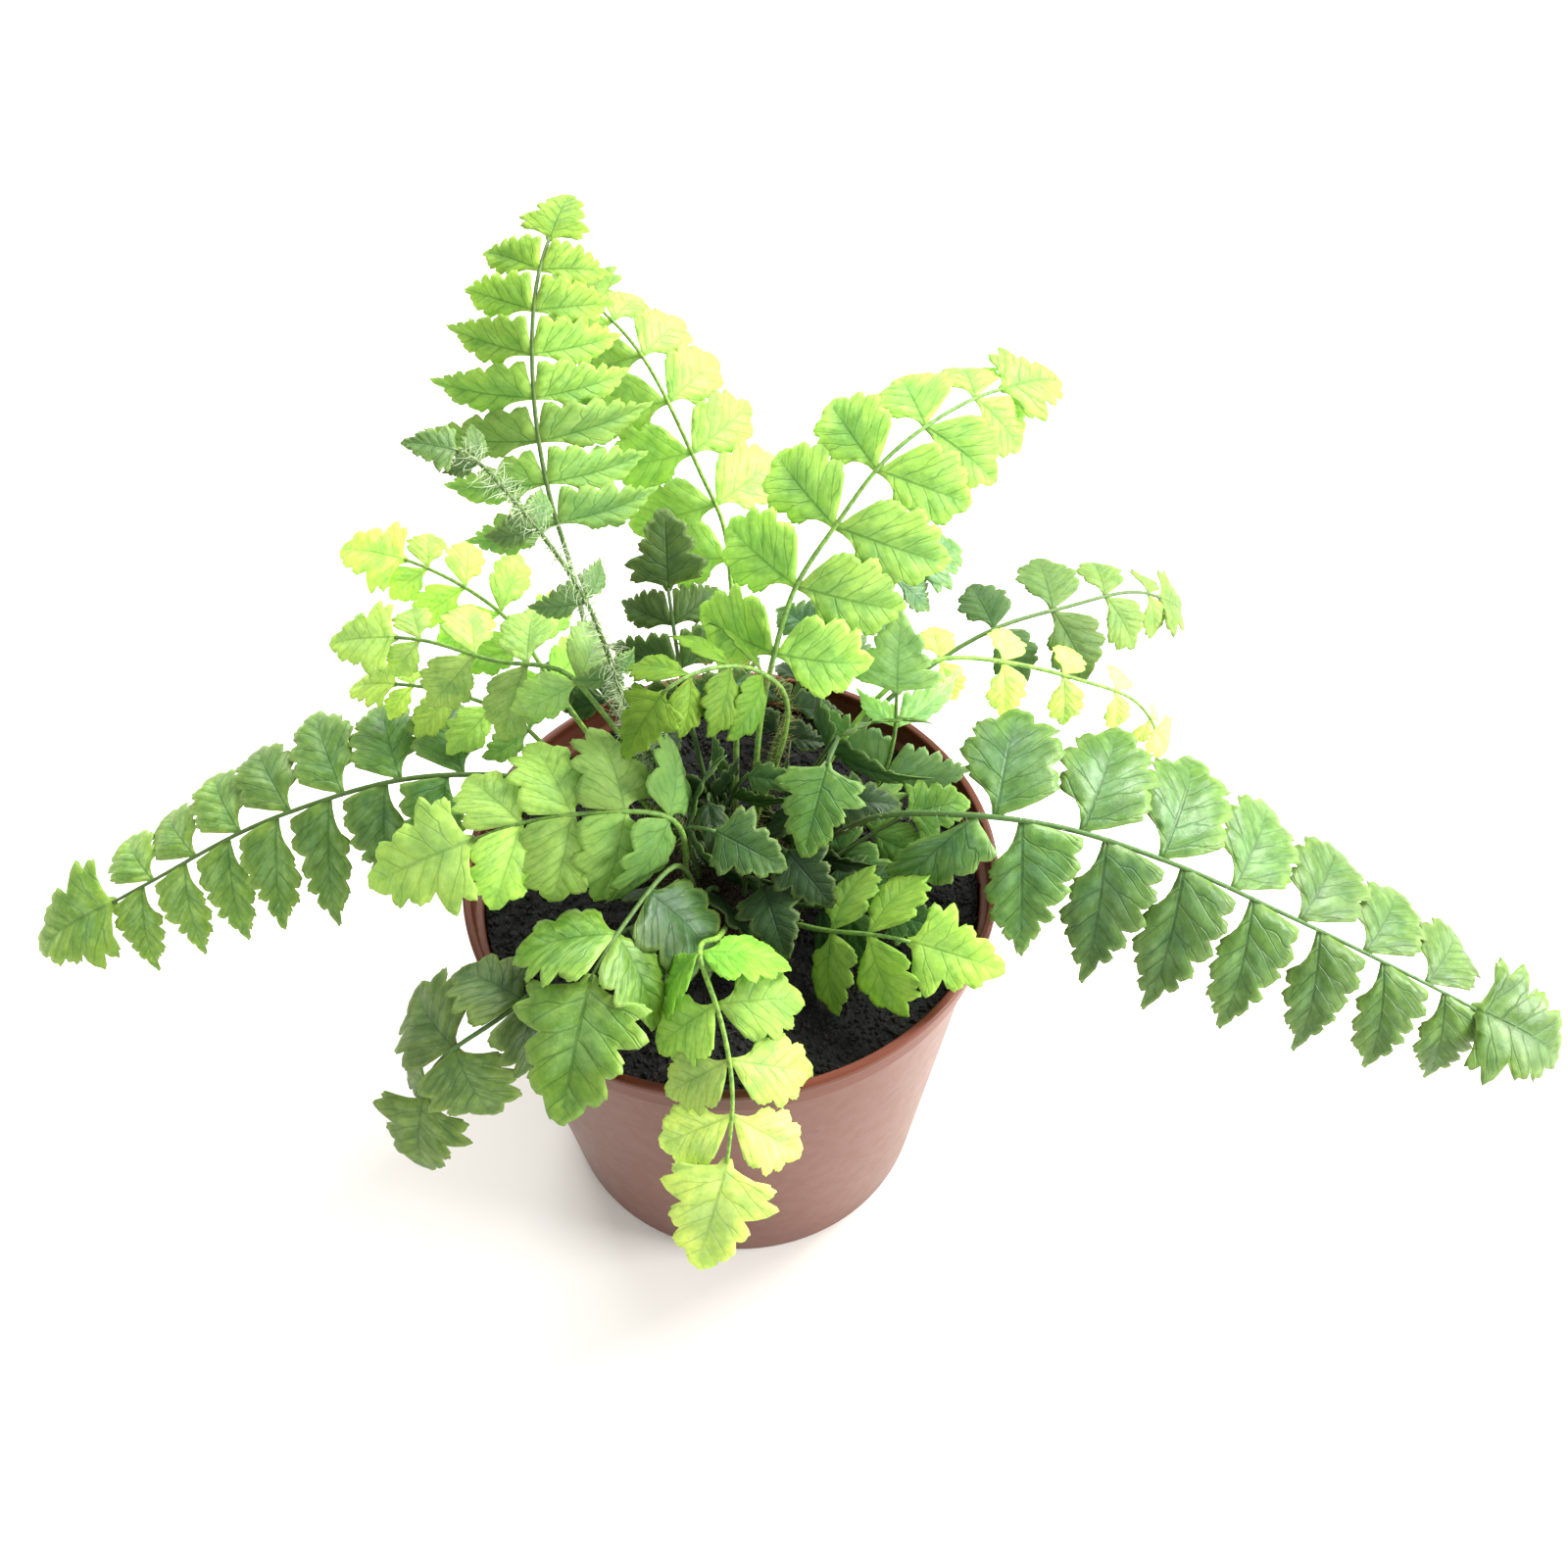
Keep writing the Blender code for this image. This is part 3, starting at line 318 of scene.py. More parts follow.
FRONDS = (
    Frond("left_low", Slot.MID, (-14, 1),
          ((-45, 15, 112), (-65, 14, 115), (-101, 12, 105), (-139, 9, 83), (-171, 7, 62)),
          pairs=7, leaf=28, bare=0.31, base=0.75, tip=0.75, breadth=0.74, room=1.02, stagger=-0.25,
          fine=True, rise=50),
    Frond("left_mid", Slot.BRIGHT, (-9, -6),
          ((-14, -13, 133), (-27, -16, 137), (-39, -17, 136), (-54, -19, 131), (-74, -21, 121)),
          pairs=4, leaf=21, bare=0.34, base=1, tip=0.95, breadth=0.95, end=1.2, fore=(104, 56),
          room=1.2, fine=True),
    Frond("front_left", Slot.MID, (-6, -10),
          ((-11, -15, 118), (-20, -31, 121), (-24, -40, 122), (-31, -56, 117), (-33, -66, 102)),
          pairs=2, leaf=21, bare=0.38, base=1, tip=1, breadth=0.95, end=1.45, fore=(96, 62),
          room=1.3, fine=True),
    Frond("front_left_low", Slot.DEEP, (-12, -10),
          ((-30, -30, 108), (-45, -47, 111), (-58, -50, 101), (-65, -48, 85), (-70, -53, 58)),
          pairs=3, leaf=20, bare=0.42, breadth=0.9, end=1.2, room=1.1, rise=42, turn=0.85),
    Frond("front", Slot.YELLOW, (0, -13),
          ((-2, -27, 109), (-5, -41, 122), (-1, -52, 116), (1, -61, 107), (0, -70, 96), (-7, -85, 75)),
          pairs=4, leaf=18, bare=0.36, base=0.9, tip=1, breadth=0.9, end=1.35, fore=(84, 62),
          room=1.15, fine=True, rise=48),
    Frond("front_right", Slot.BRIGHT, (8, -12),
          ((20, -22, 104), (34, -30, 112), (44, -34, 113), (57, -36, 108)),
          pairs=2, leaf=16, bare=0.34, base=1, tip=1.1, breadth=1, end=1.3, fore=(92, 70),
          room=1.4, rise=40, turn=0.85),
    Frond("right", Slot.DEEP, (14, 1),
          ((33, -3, 119), (48, -7, 124), (69, -9, 122), (94, -12, 113), (121, -15, 98),
           (153, -19, 79), (196, -24, 51)),
          pairs=7, leaf=32, bare=0.275, base=0.9, tip=0.72, breadth=0.68, end=0.95, fore=(84, 58),
          room=1.0, stagger=0.3, back=(138, 26), fine=True, rise=60),
    Frond("right_up", Slot.BRIGHT, (5, 7),
          ((10, 12, 150), (15, 22, 162), (24, 32, 171), (34, 42, 179), (48, 54, 182), (75, 76, 174)),
          pairs=6, leaf=25, bare=0.36, breadth=0.8, end=0.8, fore=(86, 60), room=1.05, rise=84),
    Frond("top", Slot.MID, (-7, 9),
          ((-29, 24, 150), (-33, 38, 157), (-36, 44, 168), (-38, 52, 183), (-37, 67, 203),
           (-31, 94, 210)),
          pairs=7, leaf=25, bare=0.53, base=0.9, breadth=0.62, end=0.6, fore=(96, 70), room=1.15,
          rise=66),
    Frond("top_behind", Slot.YELLOW, (1, 13),
          ((1, 50, 137), (-1, 62, 147), (-5, 69, 153), (-19, 93, 170), (-43, 127, 170)),
          pairs=6, leaf=22, bare=0.40, breadth=0.8, fore=(84, 60), room=1.05, rise=60),
    Frond("young_hairy", Slot.MID, (-6, 3),
          ((-20, 6, 145), (-27, 14, 168), (-39, 20, 188), (-46, 22, 197), (-58, 22, 201)),
          pairs=4, leaf=10, bare=0.46, end=1, tip=0.8, breadth=0.7, rise=76, turn=0.6),
    Frond("left_up_yellow", Slot.YELLOW, (-12, 8),
          ((-33, 22, 123), (-39, 28, 130), (-48, 38, 139), (-66, 48, 146), (-88, 58, 144)),
          pairs=5, leaf=18, bare=0.44, breadth=0.75, room=0.9, rise=56),
    Frond("left_up_green", Slot.BRIGHT, (-10, 4),
          ((-26, 6, 145), (-31, 8, 152), (-48, 14, 151), (-62, 18, 153), (-84, 24, 147)),
          pairs=4, leaf=17, bare=0.50, breadth=0.72, rise=74),
    Frond("left_low_yellow", Slot.BRIGHT, (-15, 5),
          ((-40, 21, 114), (-49, 24, 124), (-59, 27, 127), (-76, 32, 126), (-87, 36, 121)),
          pairs=4, leaf=14, bare=0.48, rise=40, turn=0.3),
    Frond("centre_dark", Slot.DARK, (-3, 9),
          ((-10, 24, 138), (-12, 36, 147), (-13, 43, 152), (-13, 53, 158)),
          pairs=3, leaf=18, bare=0.44, base=1, tip=0.8, breadth=0.75, room=1.05, rise=76),
    Frond("centre_young", Slot.BRIGHT, (3, 2),
          ((11, 8, 149), (4, 4, 158), (-7, -3, 162), (-14, -9, 160), (-19, -14, 152)),
          pairs=3, leaf=15, bare=0.59, base=1, tip=0.8, breadth=0.8, room=0.95, rise=82, turn=0.6),
    Frond("right_back_upright", Slot.BRIGHT, (15, 5),
          ((35, 16, 112), (37, 19, 122), (37, 20, 133), (37, 22, 153)),
          pairs=2, leaf=20, bare=0.40, base=1, tip=0.9, breadth=0.72, fore=(72, 52), rise=50, turn=0.85),
    Frond("right_back_yellow", Slot.YELLOW, (12, 8),
          ((47, 31, 132), (66, 36, 125), (80, 38, 118), (96, 42, 106), (107, 44, 84)),
          pairs=5, leaf=12, bare=0.42, breadth=0.72, rise=66),
    Frond("right_back_green", Slot.MID, (11, 12),
          ((62, 48, 125), (80, 57, 123), (97, 67, 118), (116, 80, 97)),
          pairs=4, leaf=18, bare=0.50, breadth=0.72, rise=66),
    Frond("back_right_dark", Slot.DARK, (6, 12),
          ((21, 34, 135), (28, 44, 136), (40, 56, 134), (55, 72, 130)),
          pairs=3, leaf=18, bare=0.50, breadth=0.8, rise=72),
    Frond("inner_right", Slot.DARK, (7, 3),
          ((20, 13, 119), (24, 11, 129), (21, 0, 131), (16, -14, 120)),
          pairs=2, leaf=20, bare=0.46, base=1, tip=1, breadth=0.9, room=1.1, rise=60, turn=0.85),
    Frond("inner_far_right", Slot.DARK, (15, -3),
          ((34, 5, 105), (44, 8, 109), (54, 12, 106)),
          leaf=16, bare=0.28, rise=42, **INNER),
    Frond("inner_low_right", Slot.DEEP, (13, -8),
          ((24, -14, 101), (34, -17, 103), (46, -20, 101)),
          pairs=2, leaf=16, bare=0.27, base=0.9, end=0.8, tip=1, breadth=1, room=1.1, rise=35,
          turn=0.85),
    Frond("inner_back_left", Slot.DARK, (-9, 12),
          ((-20, 24, 112), (-30, 34, 120), (-44, 46, 118)),
          pairs=2, leaf=16, bare=0.36, breadth=0.75, rise=60),
    Frond("inner_back", Slot.DARK, (4, 16),
          ((10, 26, 110), (16, 40, 116), (22, 58, 108)),
          pairs=3, leaf=15, bare=0.40, breadth=0.75, rise=60),
    Frond("inner_front", Slot.DARK, (3, -7),
          ((4, -9, 106), (8, -16, 111), (12, -30, 106)),
          leaf=17, bare=0.08, rise=80, **INNER),
    Frond("inner_left", Slot.DEEP, (-7, -2),
          ((-9, -3, 112), (-8, -7, 121), (1, -12, 124), (12, -16, 118)),
          leaf=17, bare=0.37, rise=84, **INNER),
    Frond("inner_centre", Slot.DARK, (0, -2),
          ((5, -4, 112), (12, -11, 118), (22, -20, 110)),
          pairs=2, leaf=17, bare=0.18, base=0.9, tip=1, breadth=0.95, end=0.9, room=1.1, rise=80,
          turn=0.85),
    Frond("inner_mid_left", Slot.DARK, (-3, -6),
          ((-7, -16, 107), (-13, -25, 108), (-19, -35, 101)),
          leaf=18, bare=0.20, end=0.9, rise=70, **INNER),
    Frond("inner_mid_back", Slot.DEEP, (11, -2),
          ((19, 3, 113), (27, 6, 116), (38, 6, 112)),
          leaf=18, bare=0.24, end=0.9, rise=70, **INNER),
    Frond("inner_high", Slot.DARK, (-1, 5),
          ((0, 6, 112), (3, 5, 122), (9, 3, 129), (18, 0, 126)),
          leaf=17, bare=0.26, rise=80, **INNER),
    Frond("inner_near", Slot.DARK, (-3, 0),
          ((-3, 2, 111), (-4, 3, 120), (-4, -3, 124), (-2, -15, 118)),
          leaf=15, bare=0.30, rise=80, **INNER),
)


def crown_height(x: float, y: float) -> float:
    """Height of the crown's domed top at this place."""
    return CROWN_TOP - CROWN_RISE * (x * x + y * y) / CROWN_RADIUS ** 2


class Stem:
    """The rib of a frond, read by its distance from the crown's surface."""

    SAMPLES = 14

    def __init__(self, frond: Frond) -> None:
        """Lays the rib's curve through the frond's route."""
        x, y = frond.root
        start = Vector((x, y, crown_height(x, y)))
        points = [start] + [Vector(point) for point in frond.route]
        heading = Vector((points[1].x - x, points[1].y - y, 0)).normalized()
        rise = math.radians(frond.rise)
        self.launch = heading * math.cos(rise) + Vector((0, 0, math.sin(rise)))
        self.points = self._curve(points)
        self.distances = [0.0]
        for before, after in zip(self.points, self.points[1:]):
            self.distances.append(self.distances[-1] + (after - before).length)
        self.length = self.distances[-1]
        self.rib_end = self.length - frond.leaf * frond.end
        chord = points[-1] - start
        self.side = Vector((-chord.y, chord.x, 0)).normalized()
        self.turn = frond.turn

    def _curve(self, points: list[Vector]) -> list[Vector]:
        """Points of a smooth curve through the given ones, which leaves the crown along the launch."""
        spans = [(after - before).length for before, after in zip(points, points[1:])]
        slopes = [self.launch]
        for index in range(1, len(points) - 1):
            before = (points[index] - points[index - 1]) / spans[index - 1]
            after = (points[index + 1] - points[index]) / spans[index]
            share = spans[index - 1] / (spans[index - 1] + spans[index])
            slopes.append(before * (1 - share) + after * share)
        slopes.append((points[-1] - points[-2]) / spans[-1] * 1.5 - slopes[-1] * 0.5)
        curve = [points[0]]
        for index, span in enumerate(spans):
            for step in range(1, self.SAMPLES + 1):
                t = step / self.SAMPLES
                curve.append(
                    points[index] * (2 * t ** 3 - 3 * t ** 2 + 1)
                    + slopes[index] * span * (t ** 3 - 2 * t ** 2 + t)
                    + points[index + 1] * (3 * t ** 2 - 2 * t ** 3)
                    + slopes[index + 1] * span * (t ** 3 - t ** 2)
                )
        return curve

    def frame(self, distance: float) -> tuple[Vector, Vector, Vector, Vector]:
        """Place, direction, left side and upper side of the rib at this distance from the crown."""
        if distance <= 0:
            place = self.points[0] + self.launch * distance
            along = self.launch
        else:
            index = 1
            while index < len(self.points) - 1 and self.distances[index] < distance:
                index += 1
            before, after = self.points[index - 1], self.points[index]
            beyond = distance - self.distances[index - 1]
            place = before + (after - before).normalized() * beyond
            along = (after - before).normalized()
        side = (self.side - along * self.side.dot(along)).normalized()
        lit = LIGHT - along * LIGHT.dot(along)
        upper = (along.cross(side) * (1 - self.turn) + lit * self.turn).normalized()
        return place, along, upper.cross(along), upper


class Blade:
    """A leaflet's own frame: where a share of its length along and across the rib lies in space."""

    def __init__(
        self, base: Vector, axis: Vector, across: Vector, length: float, width: float, upper: Vector,
        lean: float = 0.0,
    ) -> None:
        """Sets the frame, with its upper face on the frond's upper side and its ear along the rib."""
        self.base = base
        self.axis = axis.normalized()
        self.across = across.normalized()
        self.normal = self.axis.cross(self.across).normalized()
        if self.normal.dot(upper) < 0:
            self.normal = -self.normal
        self.length = length
        self.width = width
        self.lean = width * lean

    def point(self, x: float, y: float) -> Vector:
        """The place of one point of the coarse outline."""
        x += max(self.lean * y, 0) * (1 - x * x)
        bend = BLADE_CURL * x
        forward = math.sin(bend) / BLADE_CURL
        fall = (1 - math.cos(bend)) / BLADE_CURL + BLADE_CUP * y * y
        return self.base + self.length * (
            self.axis * forward + self.across * (y * self.width) - self.normal * fall
        )

    def points(self, flat: np.ndarray, lift: np.ndarray, twist: float) -> np.ndarray:
        """Places of many flat points.

        Args:
            flat: shares of the length along and across the rib, one row a point.
            lift: how far each point stands off the smooth blade, as a share of the length.
            twist: how far the far end is turned about the rib, in radians.

        Returns:
            One row of millimetres a point.
        """
        x, y = flat[:, 0], flat[:, 1]
        x = x + np.maximum(self.lean * y, 0) * (1 - np.minimum(x * x, 1))
        bend = BLADE_CURL * x
        forward = np.sin(bend) / BLADE_CURL
        fall = (1 - np.cos(bend)) / BLADE_CURL + BLADE_CUP * y * y
        turned = twist * x
        across = y * self.width * np.cos(turned)
        rise = y * self.width * np.sin(turned) - fall + lift
        offsets = (
            np.outer(forward, self.axis) + np.outer(across, self.across) + np.outer(rise, self.normal)
        )
        return np.array(self.base) + self.length * offsets


def triangulated(outline: list, rib: list) -> list[tuple]:
    """Triangles of a coarse outline, with edges along its rib, as indices into outline + rib."""
    points = [Vector(point) for point in outline + rib]
    count = len(outline)
    edges = [(index, (index + 1) % count) for index in range(count)]
    line = [count + index for index in range(len(rib))]
    if len(outline) % 2:
        line.append(max(range(count), key=lambda index: outline[index][0]))
    edges += list(zip(line, line[1:]))
    _, _, faces, origins, _, _ = geometry.delaunay_2d_cdt(points, edges, [], 1, 1e-6)
    return [tuple(origins[corner][0] for corner in face) for face in faces]


class Shape:
    """Triangles that may touch others, with a ball round them that rules out most others quickly."""

    def __init__(self, points: list[Vector], faces: list) -> None:
        """Builds the search tree and the ball."""
        self.tree = BVHTree.FromPolygons(points, faces)
        self.centre = sum(points, Vector()) / len(points)
        self.reach = max((point - self.centre).length for point in points)

    def touches(self, other: "Shape") -> bool:
        """Whether the two shapes cross."""
        if (self.centre - other.centre).length > self.reach + other.reach:
            return False
        return bool(self.tree.overlap(other.tree))


def pot_shape() -> Shape:
    """Faces just outside the rim, the soil and the crown, which leaflets keep clear of."""
    crown_edge = CROWN_RADIUS + POT_CLEARANCE
    inner_edge = RIM_RADIUS - BEAD_OVERHANG - POT_WALL - POT_CLEARANCE
    outer_edge = RIM_RADIUS + POT_CLEARANCE
    soil_top = SOIL_TOP + SOIL_ROUGHNESS + POT_CLEARANCE
    rim_top = POT_HEIGHT + POT_CLEARANCE
    profile = [
        (POT_CLEARANCE, CROWN_TOP + POT_CLEARANCE),
        (crown_edge, CROWN_TOP - CROWN_RISE + POT_CLEARANCE),
        (crown_edge, soil_top),
        (inner_edge, soil_top),
        (inner_edge, rim_top),
        (outer_edge, rim_top),
        (outer_edge, POT_HEIGHT - COLLAR_HEIGHT),
        (BASE_RADIUS + POT_CLEARANCE, 0),
    ]
    points = []
    for step in range(POT_STEPS):
        angle = math.tau * step / POT_STEPS
        points += [Vector((r * math.cos(angle), r * math.sin(angle), z)) for r, z in profile]
    faces = []
    for step, index in itertools.product(range(POT_STEPS), range(len(profile) - 1)):
        here = step * len(profile) + index
        there = (step + 1) % POT_STEPS * len(profile) + index
        faces.append([here, there, there + 1, here + 1])
    return Shape(points, faces)


def sheet_shape(blade: Blade, outline: list, rib: list) -> Shape:
    """A coarse outline's triangles on both sides of its blade, a little way off it."""
    flat = [blade.point(x, y) for x, y in outline + rib]
    offset = blade.normal * SHEET_CLEARANCE
    faces = triangulated(outline, rib)
    points = [point + offset for point in flat] + [point - offset for point in flat]
    return Shape(points, faces + [tuple(i + len(flat) for i in face) for face in faces])


def stem_shapes(stem: Stem) -> list[tuple[float, Shape]]:
    """Short square tubes round a stem up to its end leaflet, each with the distance of its middle."""
    half = STEM_WIDTH / 2 + SHEET_CLEARANCE
    faces = [[corner, (corner + 1) % 4, (corner + 1) % 4 + 4, corner + 4] for corner in range(4)]
    count = math.ceil((stem.rib_end - SOCKET_DEPTH) / STEM_CHECK_STEP)
    step = (stem.rib_end - SOCKET_DEPTH) / count
    tubes = []
    for index in range(count):
        middle = SOCKET_DEPTH + step * (index + 0.5)
        points = []
        for distance in (middle - step / 2, middle + step / 2):
            place, _, side, upper = stem.frame(distance)
            points += [place + offset * half for offset in (side, upper, -side, -upper)]
        tubes.append((middle, Shape(points, faces)))
    return tubes


class Crowd:
    """What has been placed so far: the pot, every stem, and the leaflets placed before."""

    def __init__(self, stems: dict[str, Stem]) -> None:
        """Starts with the pot and all the stems."""
        self.pot = pot_shape()
        self.stems = {name: stem_shapes(stem) for name, stem in stems.items()}
        self.leaflets: list[Shape] = []

    def is_free(self, shape: Shape, owner: str, distance: float) -> bool:
        """Whether a leaflet at this distance along its owner would touch nothing that is there."""
        if shape.touches(self.pot) or any(shape.touches(other) for other in self.leaflets):
            return False
        return not any(
            shape.touches(tube)
            for name, parts in self.stems.items()
            for middle, tube in parts
            if name != owner or abs(middle - distance) > OWN_STEM_MARGIN
        )


@dataclass(frozen=True)
class Placed:
    """A leaflet in its place: its blade, its share of the way to the tip, and which kind it is.

    side is 1 on the left of the stem, seen from the crown, and -1 on the right.
    """

    blade: Blade
    share: float
    is_end: bool
    side: int = 1


class FrondPlan:
    """Places one frond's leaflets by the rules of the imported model."""

    def __init__(self, frond: Frond, stem: Stem, crowd: Crowd) -> None:
        """Keeps what the rules need, with the frond's own random numbers."""
        self.frond = frond
        self.stem = stem
        self.crowd = crowd
        self.random = random.Random(frond.node)
        self.placed: list[Placed] = []

    def stem_width(self, distance: float) -> float:
        """Width of the stem at this distance from the crown."""
        share = min(max(distance / self.stem.rib_end, 0), 1)
        return STEM_WIDTH + (TIP_WIDTH - STEM_WIDTH) * share

    def pair_places(self) -> tuple[list[float], float]:
        """Distances of the leaflet pairs along the stem, and the gap between them."""
        frond = self.frond
        first = self.stem.length * frond.bare
        last = self.stem.rib_end - frond.leaf * frond.tip * END_ROOM_SHARE
        gap = (last - first) / max(frond.pairs - 1, 1)
        return [first + gap * index for index in range(frond.pairs)], gap

    def jitter(self, size: float) -> float:
        """A random number between minus and plus this size."""
        return self.random.uniform(-size, size)

    def size(self, share: float) -> float:
        """Size of the leaflets against the longest, by their share of the way from first to last."""
        frond = self.frond
        if share < LARGEST_AT:
            return frond.base + (1 - frond.base) * share / LARGEST_AT
        return 1 + (frond.tip - 1) * (share - LARGEST_AT) / (1 - LARGEST_AT)

    def leaflet(
        self, distance: float, side_sign: int, share: float, gap: float, fore_angle: float, length: float
    ) -> None:
        """Places a leaflet on one side, where one has room."""
        frond = self.frond
        fore = math.radians(fore_angle + self.jitter(ANGLE_JITTER))
        hang = frond.droop[0 if side_sign > 0 else 1] + self.jitter(HANG_JITTER)
        length *= 1 + self.jitter(LENGTH_JITTER)
        breadth = min(frond.breadth, frond.room * gap * math.sin(fore) / length)
        outline, rib = (LARGE_LEAFLET, LARGE_RIB) if frond.fine else (SMALL_LEAFLET, SMALL_RIB)
        place, along, side, upper = self.stem.frame(distance)
        base = place + side * side_sign * self.stem_width(distance) / 2
        for more_hang, size in CHOICES:
            turned_down = math.radians(hang + more_hang)
            out = side * side_sign * math.cos(turned_down) - upper * math.sin(turned_down)
            axis = along * math.cos(fore) + out * math.sin(fore)
            across = along * math.sin(fore) - out * math.cos(fore)
            twist = Matrix.Rotation(math.radians(-side_sign * SHINGLE_TWIST), 3, axis)
            blade = Blade(
                base, axis, twist @ across, length * size, breadth / OUTLINE_BREADTH, upper,
                1 / math.tan(fore),
            )
            shape = sheet_shape(blade, outline, rib)
            if self.crowd.is_free(shape, frond.name, distance):
                self.crowd.leaflets.append(shape)
                self.placed.append(Placed(blade, share, False, side_sign))
                return

    def end_leaflet(self) -> None:
        """Places the leaflet that ends the frond."""
        frond = self.frond
        place, _, side, upper = self.stem.frame(self.stem.rib_end)
        chord = self.stem.points[-1] - place
        across = (side - chord * side.dot(chord) / chord.length_squared).normalized()
        lifted = [Matrix.Rotation(sign * BLADE_CURL / 2, 3, across) @ chord for sign in (-1, 1)]
        axis = max(lifted, key=upper.dot)
        length = chord.length * (BLADE_CURL / 2) / math.sin(BLADE_CURL / 2)
        outline, rib = (LARGE_END, LARGE_END_RIB) if frond.fine else (SMALL_END, SMALL_END_RIB)
        for size in SIZE_CHOICES:
            blade = Blade(place, axis, across, length, size, upper)
            shape = sheet_shape(blade, outline, rib)
            if self.crowd.is_free(shape, frond.name, self.stem.rib_end):
                break
        self.crowd.leaflets.append(shape)
        self.placed.append(Placed(blade, 1.0, True))

    def place_all(self) -> list[Placed]:
        """Places the end leaflet and then the pairs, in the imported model's order."""
        self.end_leaflet()
        places, gap = self.pair_places()
        shift = gap * self.frond.stagger
        first, last = self.frond.fore
        for index, distance in enumerate(places):
            share = index / max(len(places) - 1, 1)
            angle = first + (last - first) * share
            length = self.frond.leaf * self.size(share)
            self.leaflet(distance - shift / 2, 1, share, gap, angle, length)
            self.leaflet(distance + shift / 2, -1, share, gap, angle, length)
        if self.frond.back:
            self.leaflet(places[0] - gap * BACK_BEFORE, -1, 0, gap, *self.frond.back)
        return self.placed


class FlatLeaf:
    """A fine leaf laid flat: points, triangles, and how far inside its margin each point lies."""

    def __init__(
        self, start: list, lobes: list, back: list, teeth: int, tooth: float, seed: int
    ) -> None:
        """Draws the margin with its lobes and teeth, adds rings inside it and joins them up.

        Args:
            start: the smooth wedge from the stem to the first lobe.
            lobes: each lobe's tip and the notch after it.
            back: the smooth wedge back to the stem.
            teeth: how many teeth each lobe has.
            tooth: height of a tooth as a share of the leaf's length.
            seed: picks the small differences between leaves.
        """
        self.random = random.Random(seed)
        self.tooth = tooth
        smooth, margin = self._margin(start, lobes, back, teeth)
        points = [Vector(point) for point in margin]
        count = len(points)
        inside = [0.0] * count
        for factor, stride in INNER_RINGS:
            ring = [self._towards_spine(point, factor) for point in smooth[::stride]]
            points += [Vector(point) for point in ring if point[0] > SPINE_START / 2]
            inside += [1 - factor] * (len(points) - len(inside))
        reach = SPINE_END - SPINE_START
        spine = [SPINE_START + reach * step / SPINE_STEPS for step in range(SPINE_STEPS + 1)]
        points += [Vector((x, 0.0)) for x in spine]
        inside += [1.0] * len(spine)
        edges = [(index, (index + 1) % count) for index in range(count)]
        spine_start = len(points) - len(spine)
        edges += [(index, index + 1) for index in range(spine_start, len(points) - 1)]
        places, _, faces, origins, _, _ = geometry.delaunay_2d_cdt(points, edges, [], 1, 1e-6)
        self.flat = np.array([tuple(place) for place in places])
        self.faces = np.array([tuple(face) for face in faces])
        self.inside = np.array([inside[origin[0]] if origin else 0.0 for origin in origins])
        self._drop_loose()
        self.rim = self._rim_edges()

    def _wobble(self, point: tuple[float, float]) -> tuple[float, float]:
        """The point, moved a little at random."""
        return (
            point[0] + self.random.uniform(-LOBE_JITTER, LOBE_JITTER),
            point[1] + self.random.uniform(-LOBE_JITTER, LOBE_JITTER),
        )

    def _margin(self, start: list, lobes: list, back: list, teeth: int) -> tuple[list, list]:
        """The margin without and with its teeth, from the stem round the tip and back."""
        smooth, cut = list(start), list(start)
        here = start[-1]
        for index, (tip, notch) in enumerate(lobes):
            tip = self._wobble(tip)
            notch = self._wobble(notch) if index < len(lobes) - 1 else notch
            bend = (2 * tip[0] - (here[0] + notch[0]) / 2, 2 * tip[1] - (here[1] + notch[1]) / 2)
            is_basal = index < len(lobes) / 2
            count = max(2, teeth + (index % 2 == 0) * self.random.choice((0, 1)))
            for tooth in range(count):
                shares = (0.0, TOOTH_SHOULDER_AT, TOOTH_PEAK_AT)
                heights = (0.0, SHOULDER_HEIGHT, 1.0)
                if not is_basal:
                    shares = (0.0, 1 - TOOTH_PEAK_AT, 1 - TOOTH_SHOULDER_AT)
                    heights = (0.0, 1.0, SHOULDER_HEIGHT)
                for share, height in zip(shares, heights):
                    t = (tooth + share) / count
                    if index == 0 and tooth == 0 and share == 0:
                        continue
                    x = here[0] * (1 - t) ** 2 + 2 * bend[0] * t * (1 - t) + notch[0] * t * t
                    y = here[1] * (1 - t) ** 2 + 2 * bend[1] * t * (1 - t) + notch[1] * t * t
                    smooth.append((x, y))
                    out = Vector((x - TOOTH_CENTRE, y * TOOTH_SPREAD)).normalized()
                    out = out * self.tooth * height
                    cut.append((x + out.x, y + out.y))
            here = notch
        smooth.append(here)
        cut.append(here)
        return smooth + back, cut + back

    def _towards_spine(self, point: tuple[float, float], factor: float) -> tuple[float, float]:
        """The point drawn in towards the midrib."""
        centre = SPINE_START + SPINE_REACH * max(point[0], 0)
        return centre + (point[0] - centre) * factor, point[1] * factor

    def _drop_loose(self) -> None:
        """Leaves out points that no triangle uses."""
        used = np.unique(self.faces)
        place = np.full(len(self.flat), -1)
        place[used] = np.arange(len(used))
        self.flat = self.flat[used]
        self.inside = self.inside[used]
        self.faces = place[self.faces]
        a, b, c = (self.flat[self.faces[:, corner]] for corner in range(3))
        area = (b[:, 0] - a[:, 0]) * (c[:, 1] - a[:, 1]) - (b[:, 1] - a[:, 1]) * (c[:, 0] - a[:, 0])
        self.faces[area < 0] = self.faces[area < 0][:, ::-1]

